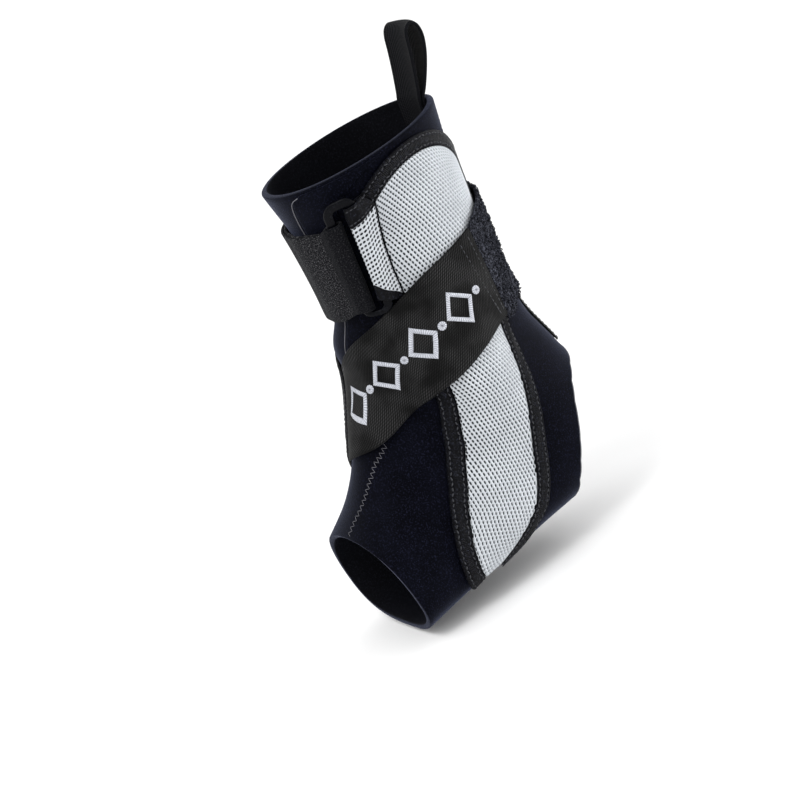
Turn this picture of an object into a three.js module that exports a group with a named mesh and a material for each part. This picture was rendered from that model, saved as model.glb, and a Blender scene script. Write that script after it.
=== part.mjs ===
// Ankle brace for a right foot, kept in the form it has when worn.
// Millimetres. X points to the inner (medial) side, Y to the heel, Z up the leg.
// The origin is the middle of the ankle. The leg, foot and heel openings are open.
import * as THREE from 'three';

// Main sizes of the form round the leg and foot
const LEG_RISE = 112;
const LEG_DEPTH = 82;
const LEG_WIDTH = 76;
const SOLE_DROP = 74;
const TOE_REACH = 84;
const HEEL_REACH = 54;
const FOOT_WIDTH = 76;
const FRONT_FULL = 2.1;

// Thicknesses and widths of the cloth pieces
const CLOTH = 3;
const GAP = 0.35;
const SEAT_GAP = 0.45;
const FLAP_THICK = 1.3;
const PANEL_EDGE = 1.8;
const PANEL_THICK = 2.7;
const BINDING_THICK = 2;
const BINDING_WIDTH = 8;
const WEBBING_THICK = 1.5;
const PILE_THICK = 2;
const STRAP_THICK = 1.2;
const TAB_THICK = 1;
const TAPE_THICK = 1.2;
const TAPE_WIDTH = 11;

// The plastic ring that the upper strap runs through
const RING_STATION = 1.19;
const RING_TURN = 38;
const RING_LEAN = 0.17;
const RING_LENGTH = 57.2;
const RING_BAR = 4.6;
const RING_END_BAR = 3.8;
const RING_WINDOW = 7;
const RING_THICK = 2.2;
const RING_CORNER = 6;
const STATION_MM = 30.5;
const TURN_MM = 0.8;

// The upper strap's room to the pile's end and its lengths from the ring's first bar. Half the
// height and the splay of the tab's seam.
const STRAP_TIP_GAP = 0.6;
const TAB_HALF = 28.6;
const STRAP_OVER = 77;
const STRAP_END = 28;
const TAB_SPLAY = 26;

// The pull loop above the back of the top edge
const LOOP_HEIGHT = 33;
const LOOP_WIDTH = 24;
const LOOP_THICK = 1.4;
const LOOP_BULGE = 9;
const LOOP_TAIL = 12;

// Heights over the skin of what lies on the sleeve. FACET is the extra room that the flat
// facets of stacked curved pieces need.
const FACET = 0.2;
const SEAT = CLOTH + SEAT_GAP;
const PANEL_SEAT = SEAT + FACET;
const STRAP_SEAT = SEAT + FACET;
const PANEL_STEP = PANEL_THICK + GAP + FACET;
const FLAP_STEP = FLAP_THICK + GAP;
const TAPE_STEP = TAPE_THICK + GAP;
const UNDER_RING = FLAP_STEP + STRAP_THICK + GAP;

// Half the room at the front, back and sole seams, the room between the leg part and the
// foot part of the sleeve, and the turn up to which the columns of
// the sleeve stay straight. Straps fade up over a piece below within FADE degrees.
const SEAM_TURN = 0.3;
const PART_STATION = 3.8;
const PART_GAP = 0.025;
const STEADY_TURN = 132;
const FADE = 14;
const BINDING_TURN = 12;

// Front and back points of the sections of the leg, from the top edge down.
// Up values are shares of LEG_RISE and out values are shares of LEG_DEPTH.
const LEG_PROFILE = [
  { frontUp: 1, backUp: 1.04, frontOut: 0.465, backOut: -0.51 },
  { frontUp: 0.72, backUp: 0.74, frontOut: 0.4, backOut: -0.445 },
  { frontUp: 0.46, backUp: 0.42, frontOut: 0.4, backOut: -0.425 },
];

// Half widths of the same sections as shares of LEG_WIDTH. Broad is where the section is
// widest, as a share of its depth from the front, and full is how square it is.
const LEG_BREADTH = [
  { inner: 0.5, outer: 0.5, broad: 0.5, backFull: 2 },
  { inner: 0.445, outer: 0.445, broad: 0.5, backFull: 2 },
  { inner: 0.41, outer: 0.41, broad: 0.5, backFull: 2 },
];

// Front and back points of the sections that fan round the ankle to the toe edge. Up values
// are shares of SOLE_DROP, out values of TOE_REACH in front and of HEEL_REACH behind.
const FOOT_PROFILE = [
  { frontUp: 0.44, backUp: 0.2, frontOut: 0.455, backOut: -0.685 },
  { frontUp: 0.24, backUp: -0.13, frontOut: 0.52, backOut: -0.82 },
  { frontUp: 0.07, backUp: -0.48, frontOut: 0.595, backOut: -0.96 },
  { frontUp: -0.06, backUp: -0.8, frontOut: 0.655, backOut: -0.88 },
  { frontUp: -0.17, backUp: -0.95, frontOut: 0.71, backOut: -0.5 },
  { frontUp: -0.27, backUp: -1, frontOut: 0.77, backOut: 0.02 },
  { frontUp: -0.38, backUp: -1.05, frontOut: 0.85, backOut: 0.42 },
  { frontUp: -0.5, backUp: -1.13, frontOut: 0.97, backOut: 0.9 },
];

// Half widths of the same sections as shares of FOOT_WIDTH
const FOOT_BREADTH = [
  { inner: 0.42, outer: 0.43, broad: 0.48, backFull: 2 },
  { inner: 0.44, outer: 0.46, broad: 0.44, backFull: 2 },
  { inner: 0.43, outer: 0.45, broad: 0.42, backFull: 2.2 },
  { inner: 0.41, outer: 0.43, broad: 0.45, backFull: 2.4 },
  { inner: 0.41, outer: 0.43, broad: 0.52, backFull: 2.6 },
  { inner: 0.42, outer: 0.44, broad: 0.58, backFull: 2.7 },
  { inner: 0.44, outer: 0.46, broad: 0.6, backFull: 2.8 },
  { inner: 0.46, outer: 0.48, broad: 0.62, backFull: 2.8 },
];

// Swellings and hollows: the two ankle bones, the hollows behind them, the fold in front.
// Heights are shares of FOOT_WIDTH.
const SWELLS = [
  { station: 3.75, turn: 82, height: 0.06, reach: 0.75, spread: 24 },
  { station: 4.15, turn: -96, height: 0.065, reach: 0.75, spread: 24 },
  { station: 3.9, turn: 138, height: -0.032, reach: 0.9, spread: 20 },
  { station: 3.9, turn: -138, height: -0.032, reach: 0.9, spread: 20 },
  { station: 2.8, turn: -12, height: 0.055, reach: 0.4, spread: 24 },
];

// Stations where the sleeve has a row of points, and the turn where its back edge lies.
const SLEEVE_EDGE = [
  { station: 0, turn: 180 },
  { station: 0.45, turn: 180 },
  { station: 0.9, turn: 180 },
  { station: 1.4, turn: 180 },
  { station: 1.9, turn: 180 },
  { station: 2.35, turn: 180 },
  { station: 2.75, turn: 180 },
  { station: 3.1, turn: 180 },
  { station: 3.45, turn: 180 },
  { station: 3.8, turn: 180 },
  { station: 4.15, turn: 180 },
  { station: 4.2, turn: 176 },
  { station: 4.3, turn: 170 },
  { station: 4.5, turn: 160 },
  { station: 4.8, turn: 153 },
  { station: 5.2, turn: 149 },
  { station: 5.6, turn: 147 },
  { station: 6, turn: 145.5 },
  { station: 6.5, turn: 145 },
  { station: 6.95, turn: 147.5 },
  { station: 7.25, turn: 154 },
  { station: 7.45, turn: 164 },
  { station: 7.55, turn: 173 },
  { station: 7.6, turn: 180 },
  { station: 8.2, turn: 180 },
  { station: 8.8, turn: 180 },
  { station: 9.4, turn: 180 },
  { station: 10, turn: 180 },
];

// Mesh panel on the inner side. Near is its front edge, far is its back edge.
const INNER_PANEL = [
  { nearStation: 0.55, nearTurn: 69.5, farStation: 0.8, farTurn: 149, bow: 0.36 },
  { nearStation: 0.8, nearTurn: 66.5, farStation: 0.97, farTurn: 152, bow: 0.2 },
  { nearStation: 1.1, nearTurn: 63.5, farStation: 1.2, farTurn: 152, bow: 0.05 },
  { nearStation: 1.5, nearTurn: 61, farStation: 1.5, farTurn: 148, bow: 0 },
  { nearStation: 2, nearTurn: 60, farStation: 2, farTurn: 140, bow: 0 },
  { nearStation: 2.6, nearTurn: 61, farStation: 2.55, farTurn: 128, bow: 0 },
  { nearStation: 3.3, nearTurn: 65, farStation: 3.1, farTurn: 117, bow: 0 },
  { nearStation: 4, nearTurn: 68, farStation: 3.75, farTurn: 116, bow: 0 },
  { nearStation: 4.6, nearTurn: 67.5, farStation: 4.45, farTurn: 117, bow: 0 },
  { nearStation: 5.35, nearTurn: 63, farStation: 5.15, farTurn: 116, bow: 0 },
  { nearStation: 5.9, nearTurn: 59.5, farStation: 5.65, farTurn: 113.5, bow: 0 },
  { nearStation: 6.4, nearTurn: 57, farStation: 6.15, farTurn: 111.5, bow: 0 },
  { nearStation: 6.95, nearTurn: 57.5, farStation: 6.6, farTurn: 111.5, bow: 0 },
  { nearStation: 7.45, nearTurn: 61.5, farStation: 7, farTurn: 113, bow: 0 },
  { nearStation: 7.8, nearTurn: 66, farStation: 7.35, farTurn: 115.5, bow: 0 },
  { nearStation: 8.1, nearTurn: 72, farStation: 7.7, farTurn: 119, bow: 0 },
  { nearStation: 8.37, nearTurn: 79, farStation: 7.94, farTurn: 120, bow: 0 },
  { nearStation: 8.6, nearTurn: 86, farStation: 8.15, farTurn: 121, bow: 0 },
  { nearStation: 8.83, nearTurn: 94.5, farStation: 8.36, farTurn: 121.6, bow: 0 },
  { nearStation: 9, nearTurn: 103, farStation: 8.55, farTurn: 122.2, bow: 0 },
  { nearStation: 9.1, nearTurn: 111, farStation: 8.71, farTurn: 122.6, bow: 0 },
  { nearStation: 9.12, nearTurn: 118.5, farStation: 8.85, farTurn: 123, bow: 0 },
];

// Mesh panel on the outer side, which reaches further forward.
const OUTER_PANEL = [
  { nearStation: 0.62, nearTurn: 72, farStation: 0.85, farTurn: 140, bow: 0.3 },
  { nearStation: 0.9, nearTurn: 68, farStation: 1.05, farTurn: 144, bow: 0.14 },
  { nearStation: 1.25, nearTurn: 65, farStation: 1.35, farTurn: 145, bow: 0.03 },
  { nearStation: 1.65, nearTurn: 61.5, farStation: 1.67, farTurn: 142, bow: 0 },
  { nearStation: 2, nearTurn: 59, farStation: 2, farTurn: 138, bow: 0 },
  { nearStation: 2.35, nearTurn: 56, farStation: 2.33, farTurn: 133, bow: 0 },
  { nearStation: 2.7, nearTurn: 51.5, farStation: 2.65, farTurn: 128, bow: 0 },
  { nearStation: 3.1, nearTurn: 44.5, farStation: 3.02, farTurn: 124, bow: 0 },
  { nearStation: 3.5, nearTurn: 35, farStation: 3.4, farTurn: 120, bow: 0 },
  { nearStation: 3.95, nearTurn: 25, farStation: 3.83, farTurn: 118.5, bow: 0 },
  { nearStation: 4.4, nearTurn: 18, farStation: 4.27, farTurn: 118, bow: 0 },
  { nearStation: 4.9, nearTurn: 15, farStation: 4.72, farTurn: 117.5, bow: 0 },
  { nearStation: 5.4, nearTurn: 16, farStation: 5.16, farTurn: 116, bow: 0 },
  { nearStation: 5.9, nearTurn: 18.5, farStation: 5.61, farTurn: 113.5, bow: 0 },
  { nearStation: 6.4, nearTurn: 22.5, farStation: 6.05, farTurn: 112, bow: 0 },
  { nearStation: 6.85, nearTurn: 29, farStation: 6.48, farTurn: 112, bow: 0 },
  { nearStation: 7.3, nearTurn: 38, farStation: 6.9, farTurn: 113, bow: 0 },
  { nearStation: 7.65, nearTurn: 48, farStation: 7.25, farTurn: 115.5, bow: 0 },
  { nearStation: 8, nearTurn: 59, farStation: 7.6, farTurn: 118, bow: 0 },
  { nearStation: 8.3, nearTurn: 70, farStation: 7.87, farTurn: 119.5, bow: 0 },
  { nearStation: 8.6, nearTurn: 82, farStation: 8.13, farTurn: 120.6, bow: 0 },
  { nearStation: 8.85, nearTurn: 93, farStation: 8.36, farTurn: 121.4, bow: 0 },
  { nearStation: 9.02, nearTurn: 103, farStation: 8.56, farTurn: 122, bow: 0 },
  { nearStation: 9.1, nearTurn: 111, farStation: 8.72, farTurn: 122.4, bow: 0 },
  { nearStation: 9.12, nearTurn: 118, farStation: 8.85, farTurn: 122.8, bow: 0 },
];

// Overlap at the front of the leg. Near is its free edge.
const FLAP = [
  { nearStation: 0.04, nearTurn: 30, farStation: 0.04, farTurn: 86 },
  { nearStation: 0.12, nearTurn: 22, farStation: 0.18, farTurn: 64 },
  { nearStation: 0.4, nearTurn: 17, farStation: 0.42, farTurn: 46 },
  { nearStation: 0.8, nearTurn: 14, farStation: 0.8, farTurn: 44 },
  { nearStation: 1.5, nearTurn: 11, farStation: 1.5, farTurn: 42 },
  { nearStation: 2.3, nearTurn: 8, farStation: 2.3, farTurn: 43 },
  { nearStation: 3.1, nearTurn: 6, farStation: 3.1, farTurn: 45 },
];

// Woven strap over the instep, from the outer front to the inner back. Near is its top edge.
const WEBBING = [
  { nearStation: 3.25, nearTurn: -3, farStation: 6.75, farTurn: -3 },
  { nearStation: 3.15, nearTurn: 0, farStation: 6.15, farTurn: 11 },
  { nearStation: 3.02, nearTurn: 4, farStation: 5.35, farTurn: 25 },
  { nearStation: 2.75, nearTurn: 14, farStation: 4.65, farTurn: 40 },
  { nearStation: 2.38, nearTurn: 32, farStation: 4.2, farTurn: 57 },
  { nearStation: 2.05, nearTurn: 50, farStation: 3.85, farTurn: 75 },
  { nearStation: 1.8, nearTurn: 71, farStation: 3.42, farTurn: 94 },
  { nearStation: 1.66, nearTurn: 93, farStation: 3.1, farTurn: 110 },
  { nearStation: 1.54, nearTurn: 119.5, farStation: 2.95, farTurn: 123.5 },
];

// Loop-pile strap round the back of the leg to the outer side. Near is its top edge.
const PILE = [
  { nearStation: 1.53, nearTurn: 120.2, farStation: 3.04, farTurn: 124.5 },
  { nearStation: 1.42, nearTurn: 135, farStation: 2.97, farTurn: 139 },
  { nearStation: 1.36, nearTurn: 151, farStation: 2.88, farTurn: 154 },
  { nearStation: 1.27, nearTurn: 170, farStation: 2.78, farTurn: 172 },
  { nearStation: 1.14, nearTurn: 192, farStation: 2.65, farTurn: 192 },
  { nearStation: 0.9, nearTurn: 220, farStation: 2.44, farTurn: 220 },
  { nearStation: 0.68, nearTurn: 252, farStation: 2.24, farTurn: 252 },
  { nearStation: 0.6, nearTurn: 284.5, farStation: 2.18, farTurn: 284.5 },
];

// Bend of the upper strap round the ring's first bar. Bars is how far along it is in widths
// of the bar. Straps, gaps and ring are how high it is, in thicknesses of each.
const STRAP_BEND = [
  { bars: 0.5, straps: 0.5, gaps: 0.5, ring: 0 },
  { bars: 0.74, straps: 0.6, gaps: 0.8, ring: 0.1 },
  { bars: 0.85, straps: 1, gaps: 1, ring: 0.5 },
  { bars: 0.74, straps: 1.4, gaps: 1.5, ring: 0.9 },
  { bars: 0.5, straps: 1.5, gaps: 2, ring: 1 },
  { bars: 0, straps: 1.5, gaps: 2.3, ring: 1 },
  { bars: -0.57, straps: 1.5, gaps: 1.7, ring: 1 },
  { bars: -1, straps: 1.5, gaps: 1.5, ring: 0.62 },
  { bars: -1.43, straps: 1.5, gaps: 1.5, ring: 0.2 },
  { bars: -2.07, straps: 1.5, gaps: 1.5, ring: 0.02 },
];

// End of the upper strap where it climbs on to the pile. Run is the share of STRAP_END.
const STRAP_CLIMB = [
  { run: 0, straps: 1.5, gaps: 1.5, pile: 0 },
  { run: 0.21, straps: 1.2, gaps: 1.3, pile: 0.3 },
  { run: 0.39, straps: 0.8, gaps: 2, pile: 0.9 },
  { run: 0.57, straps: 0.5, gaps: 3.6, pile: 1 },
  { run: 0.79, straps: 0.5, gaps: 3.4, pile: 1 },
  { run: 1, straps: 0.5, gaps: 3.4, pile: 1 },
];

// Tab of the inner panel: share 0 is its seam and 1 is the ring's second bar. Tabs, gaps,
// under and ring are how high it is, in thicknesses of the tab, the gap, what lies under the
// ring, and the ring.
const TAB_PATH = [
  { share: 0, tabs: 0.5, gaps: 0, under: 0, ring: 0 },
  { share: 0.35, tabs: 0.5, gaps: 0.6, under: 0, ring: 0 },
  { share: 0.62, tabs: 0.5, gaps: 0, under: 0.37, ring: 0 },
  { share: 0.8, tabs: 0.5, gaps: 0, under: 0.44, ring: 0 },
  { share: 1, tabs: 0.5, gaps: 0, under: 0.44, ring: 0 },
  { share: 1.11, tabs: 0.5, gaps: 0, under: 0.62, ring: 0 },
  { share: 1.15, tabs: 0.5, gaps: 0, under: 1, ring: 0.14 },
  { share: 1.11, tabs: 0.5, gaps: 0, under: 1, ring: 0.8 },
  { share: 1, tabs: 0.5, gaps: 1.2, under: 1, ring: 1 },
  { share: 0.8, tabs: 0.5, gaps: 1.6, under: 1, ring: 1 },
  { share: 0.58, tabs: 0.5, gaps: 1.6, under: 1, ring: 1 },
  { share: 0.4, tabs: 0.5, gaps: 0, under: 1, ring: 0.5 },
  { share: 0.2, tabs: 1.5, gaps: 1, under: 0.33, ring: 0 },
  { share: 0, tabs: 1.5, gaps: 1.4, under: 0, ring: 0 },
];

// The three pieces side by side across the tab, up from the ring's middle: shares of the
// ring's half length at the bar, and of TAB_HALF at the seam
const TAB_MESH = { barLow: -0.406, barHigh: 0.545, seamLow: -0.734, seamHigh: 0.65 };
const TAB_TOP = { barLow: 0.56, barHigh: 0.783, seamLow: 0.665, seamHigh: 0.925 };
const TAB_LOW = { barLow: -0.685, barHigh: -0.42, seamLow: -0.84, seamHigh: -0.748 };

// Upper strap across: shares of the ring's half length in the ring and on the leg
const STRAP_SIDES = { barLow: -0.843, barHigh: 0.594, wideLow: -1.05, wideHigh: 0.647 };

// Pull loop seen from the side, from the brace up, over and down: shares of its bulge and height
const LOOP_RISE = [
  { out: 0.12, up: 0.14 },
  { out: 0.42, up: 0.34 },
  { out: 0.68, up: 0.56 },
  { out: 0.8, up: 0.76 },
  { out: 0.74, up: 0.9 },
  { out: 0.56, up: 0.98 },
  { out: 0.34, up: 1 },
  { out: 0.13, up: 0.95 },
  { out: 0.02, up: 0.85 },
  { out: -0.02, up: 0.68 },
  { out: -0.08, up: 0.48 },
  { out: -0.17, up: 0.26 },
  { out: -0.25, up: 0.1 },
];

// Small helpers
const mix = (a, b, t) => a + (b - a) * t;
const clamp = (t) => Math.min(Math.max(t, 0), 1);
const ease = (t) => clamp(t) * clamp(t) * (3 - 2 * clamp(t));
const radians = (degrees) => (degrees * Math.PI) / 180;

// A smooth row between the rows of a table
function between(rows, at) {
  const last = rows.length - 1;
  const here = Math.min(Math.max(at, 0), last);
  const i = Math.min(Math.floor(here), last - 1);
  const u = here - i;
  const out = {};
  for (const key of Object.keys(rows[0])) {
    const b = rows[i][key];
    const c = rows[i + 1][key];
    const a = i > 0 ? rows[i - 1][key] : 2 * b - c;
    const d = i < last - 1 ? rows[i + 2][key] : 2 * c - b;
    const square = 2 * a - 5 * b + 4 * c - d;
    const cube = 3 * b - a - 3 * c + d;
    out[key] = 0.5 * (2 * b + (c - a) * u + square * u * u + cube * u * u * u);
  }
  return out;
}

// The table sections in millimetres
const footOut = (share) => share * (share >= 0 ? TOE_REACH : HEEL_REACH);
const SECTIONS = [
  ...LEG_PROFILE.map((row, i) => ({
    frontUp: row.frontUp * LEG_RISE,
    backUp: row.backUp * LEG_RISE,
    frontOut: row.frontOut * LEG_DEPTH,
    backOut: row.backOut * LEG_DEPTH,
    inner: LEG_BREADTH[i].inner * LEG_WIDTH,
    outer: LEG_BREADTH[i].outer * LEG_WIDTH,
    broad: LEG_BREADTH[i].broad,
    backFull: LEG_BREADTH[i].backFull,
  })),
  ...FOOT_PROFILE.map((row, i) => ({
    frontUp: row.frontUp * SOLE_DROP,
    backUp: row.backUp * SOLE_DROP,
    frontOut: footOut(row.frontOut),
    backOut: footOut(row.backOut),
    inner: FOOT_BREADTH[i].inner * FOOT_WIDTH,
    outer: FOOT_BREADTH[i].outer * FOOT_WIDTH,
    broad: FOOT_BREADTH[i].broad,
    backFull: FOOT_BREADTH[i].backFull,
  })),
];

// A point of the inner surface: station runs down the leg and on to the toe edge,
// turn is 0 in front, 90 on the inner side, 180 behind or below.
function skin(station, turn) {
  const row = between(SECTIONS, station);
  const cos = Math.cos(radians(turn));
  const sin = Math.sin(radians(turn));
  const out = row.frontOut - row.backOut;
  const up = row.frontUp - row.backUp;
  const depth = Math.hypot(out, up);
  const reach = (cos >= 0 ? row.broad : 1 - row.broad) * depth;
  const half = sin >= 0 ? row.inner : row.outer;
  const full = cos >= 0 ? FRONT_FULL : row.backFull;
  const round = Math.abs(cos / reach) ** full + Math.abs(sin / half) ** full;
  let radius = round ** (-1 / full);
  for (const swell of SWELLS) {
    const far = (((turn - swell.turn + 180) % 360) + 360) % 360 - 180;
    const a = (station - swell.station) / swell.reach;
    const b = far / swell.spread;
    radius += swell.height * FOOT_WIDTH * Math.exp(-0.5 * (a * a + b * b));
  }
  const forward = row.frontOut - (out / depth) * (row.broad * depth - radius * cos);
  const rise = row.frontUp - (up / depth) * (row.broad * depth - radius * cos);
  return new THREE.Vector3(radius * sin, -forward, rise);
}

// The outward direction at a point of the inner surface
function outward(station, turn) {
  const low = Math.max(station - 0.02, 0);
  const high = Math.min(station + 0.02, SECTIONS.length - 1);
  const down = skin(high, turn).sub(skin(low, turn));
  const round = skin(station, turn + 0.5).sub(skin(station, turn - 0.5));
  return down.cross(round).normalize();
}

const lay = (station, turn, lift) => skin(station, turn).addScaledVector(outward(station, turn), lift);

// A closed solid from its faces, turned so that they look outwards
function closed(points, faces) {
  let volume = 0;
  for (const [a, b, c] of faces) {
    volume += points[a].dot(points[b].clone().cross(points[c]));
  }
  const index = faces.flatMap(([a, b, c]) => (volume < 0 ? [a, c, b] : [a, b, c]));
  const geometry = new THREE.BufferGeometry().setFromPoints(points);
  geometry.setIndex(index);
  geometry.computeVertexNormals();
  return geometry;
}

// A sheet with thickness: place gives the point at column, row and face (0 below, 1 above)
function sheet(columns, rows, place) {
  const points = [];
  for (const face of [0, 1]) {
    for (let j = 0; j <= rows; j += 1) {
      for (let i = 0; i <= columns; i += 1) {
        points.push(place(i, j, face));
      }
    }
  }
  const at = (i, j, face) => (face * (rows + 1) + j) * (columns + 1) + i;
  const faces = [];
  const quad = (a, b, c, d) => faces.push([a, b, c], [a, c, d]);
  for (let j = 0; j < rows; j += 1) {
    for (let i = 0; i < columns; i += 1) {
      quad(at(i, j, 1), at(i + 1, j, 1), at(i + 1, j + 1, 1), at(i, j + 1, 1));
      quad(at(i, j, 0), at(i, j + 1, 0), at(i + 1, j + 1, 0), at(i + 1, j, 0));
    }
  }
  for (let j = 0; j < rows; j += 1) {
    quad(at(0, j, 0), at(0, j, 1), at(0, j + 1, 1), at(0, j + 1, 0));
    quad(at(columns, j, 0), at(columns, j + 1, 0), at(columns, j + 1, 1), at(columns, j, 1));
  }
  for (let i = 0; i < columns; i += 1) {
    quad(at(i, 0, 0), at(i + 1, 0, 0), at(i + 1, 0, 1), at(i, 0, 1));
    quad(at(i, rows, 0), at(i, rows, 1), at(i + 1, rows, 1), at(i + 1, rows, 0));
  }
  return closed(points, faces);
}

// Station and turn of a point of a table, along its rows and across them
function spot(rows, along, across, side = 1) {
  const row = between(rows, along);
  const bow = (row.bow ?? 0) * 4 * across * (1 - across);
  return {
    station: mix(row.nearStation, row.farStation, across) - bow,
    turn: side * mix(row.nearTurn, row.farTurn, across),
  };
}

// The turn of a table's edge at a station
function edgeTurn(rows, edge, station) {
  let turn = 0;
  for (let i = 0; i < rows.length - 1; i += 1) {
    const from = rows[i][edge + 'Station'];
    const to = rows[i + 1][edge + 'Station'];
    if (station >= from || i === 0) {
      const share = clamp((station - from) / (to - from));
      turn = mix(rows[i][edge + 'Turn'], rows[i + 1][edge + 'Turn'], share);
    }
  }
  return turn;
}

// How high the pieces below lift a strap: over a side panel, over the flap, over the back tape
function sideCover(rows, side, station, turn) {
  const round = ((turn % 360) + 360) % 360;
  const own = side > 0 ? round : 360 - round;
  const near = edgeTurn(rows, 'near', station);
  const far = edgeTurn(rows, 'far', station);
  const front = ease((own - (near - BINDING_TURN - FADE)) / FADE);
  const back = ease((far + BINDING_TURN + FADE - own) / FADE);
  return front * back;
}

const innerRise = (station, turn) => PANEL_STEP * sideCover(INNER_PANEL, 1, station, turn);
const outerRise = (station, turn) => PANEL_STEP * sideCover(OUTER_PANEL, -1, station, turn);
const flapRise = (turn) => FLAP_STEP * ease((turn + 6) / FADE);

function tapeRise(turn) {
  const off = Math.abs((((turn % 360) + 360) % 360) - 180);
  return TAPE_STEP * ease((22 - off) / 12);
}

const webbingSeat = (station, turn) => STRAP_SEAT + Math.max(innerRise(station, turn), flapRise(turn));
const pileSeat = (station, turn) =>
  STRAP_SEAT + Math.max(innerRise(station, turn), outerRise(station, turn), tapeRise(turn));
const strapSeat = (station, turn) => STRAP_SEAT + Math.max(outerRise(station, turn), flapRise(turn));

// Part of a half of the sleeve, from the front seam to the back seam or the heel opening
function sleevePart(side, rows) {
  const columns = 16;
  const steady = 12;
  return sheet(columns, rows.length - 1, (i, j, face) => {
    const row = rows[j];
    const front = mix(SEAM_TURN, STEADY_TURN, i / steady);
    const back = mix(STEADY_TURN, row.turn - SEAM_TURN, (i - steady) / (columns - steady));
    const turn = i < steady ? front : back;
    return lay(row.station, side * turn, face * CLOTH);
  });
}

// The rows of the leg part and of the foot part, which meet above the heel opening
const legRows = SLEEVE_EDGE.filter((row) => row.station <= PART_STATION);
const footRows = [
  { station: PART_STATION + PART_GAP, turn: 180 },
  ...SLEEVE_EDGE.filter((row) => row.station > PART_STATION + PART_GAP),
];

// A domed side panel
function panel(rows, side, columns) {
  const last = rows.length - 1;
  return sheet(columns, last, (i, j, face) => {
    const across = i / columns;
    const here = spot(rows, j, across, side);
    const edge = Math.min(1, 4 * Math.min(across, 1 - across, j / last, 1 - j / last));
    const height = mix(PANEL_EDGE, PANEL_THICK, ease(edge));
    return lay(here.station, here.turn, PANEL_SEAT + face * height);
  });
}

// The move in station and turn that carries a point across the surface
function moved(here, move) {
  const lift = SEAT + 1;
  const s = Math.min(Math.max(here.station, 0.03), SECTIONS.length - 1.03);
  const down = lay(s + 0.03, here.turn, lift).sub(lay(s - 0.03, here.turn, lift)).divideScalar(0.06);
  const round = lay(s, here.turn + 1, lift).sub(lay(s, here.turn - 1, lift)).divideScalar(2);
  const dd = down.dot(down);
  const dr = down.dot(round);
  const rr = round.dot(round);
  const md = move.dot(down);
  const mr = move.dot(round);
  const det = dd * rr - dr * dr;
  return {
    station: here.station + (md * rr - mr * dr) / det,
    turn: here.turn + (mr * dd - md * dr) / det,
  };
}

// A point beside a path: distance in millimetres, to the side that hand picks
function beside(path, i, hand, distance) {
  const last = path.length - 1;
  const before = path[Math.max(i - 1, 0)];
  const after = path[Math.min(i + 1, last)];
  const lift = SEAT + 1;
  const run = lay(after.station, after.turn, lift).sub(lay(before.station, before.turn, lift));
  const across = outward(path[i].station, path[i].turn).cross(run.normalize());
  return moved(path[i], across.multiplyScalar(hand * distance));
}

// A bound edge that follows a path, just outside it
function binding(path, hand) {
  const columns = 3;
  return sheet(columns, path.length - 1, (i, j, face) => {
    const here = beside(path, j, hand, GAP + (BINDING_WIDTH * i) / columns);
    const edge = i === 0 || i === columns;
    const height = edge ? BINDING_THICK * 0.7 : BINDING_THICK;
    return lay(here.station, here.turn, PANEL_SEAT + face * height);
  });
}

// The top and back outline of a panel, then its front outline
function backPath(rows, side, columns) {
  const path = [];
  for (let i = 0; i < columns; i += 1) {
    path.push(spot(rows, 0, i / columns, side));
  }
  return [...path, ...rows.map((row, j) => spot(rows, j, 1, side))];
}

const frontPath = (rows, side, first) => rows.map((row, j) => spot(rows, j, 0, side)).slice(first);

// A flat strap between the two edges of a table
function strap(rows, steps, columns, seat, thick) {
  return sheet(columns, steps, (i, j, face) => {
    const here = spot(rows, ((rows.length - 1) * j) / steps, i / columns);
    return lay(here.station, here.turn, seat(here.station, here.turn) + face * thick);
  });
}

// The plane across the ring: along to the inner side, up towards the top edge
function ringSpot(along, up) {
  return {
    station: RING_STATION - up / STATION_MM,
    turn: RING_TURN + along / TURN_MM + RING_LEAN * up * clamp((along + 40) / 40),
  };
}

// The direction across the thickness of a folded strip
function strip(path, j, key, scale) {
  const before = path[Math.max(j - 1, 0)];
  const after = path[Math.min(j + 1, path.length - 1)];
  const run = scale * (after[key] - before[key]);
  const rise = after.over - before.over;
  const length = Math.hypot(run, rise);
  return { along: -rise / length, over: run / length };
}

// Path of the upper strap: in under the ring's first bar, back over it, and its end over the pile
function strapPath() {
  const path = [];
  const steps = 13;
  const lower = STRAP_THICK / 2 + GAP / 2;
  const upper = STRAP_THICK * 1.5 + GAP * 1.5;
  const pileEnd = PILE[PILE.length - 1].nearTurn - 360;
  const under = (RING_TURN - pileEnd) * TURN_MM - STRAP_TIP_GAP;
  for (let k = 0; k <= steps; k += 1) {
    path.push({ along: -under * (1 - k / steps), over: lower });
  }
  for (const row of STRAP_BEND) {
    const over = row.straps * STRAP_THICK + row.gaps * GAP + row.ring * RING_THICK;
    path.push({ along: row.bars * RING_BAR, over });
  }
  const from = -3 * RING_BAR;
  for (let k = 0; k < 9; k += 1) {
    path.push({ along: mix(from, -STRAP_OVER, k / 9), over: upper });
  }
  for (const row of STRAP_CLIMB) {
    const over = row.straps * STRAP_THICK + row.gaps * GAP + row.pile * PILE_THICK;
    path.push({ along: -STRAP_OVER - row.run * STRAP_END, over });
  }
  return path;
}

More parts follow.
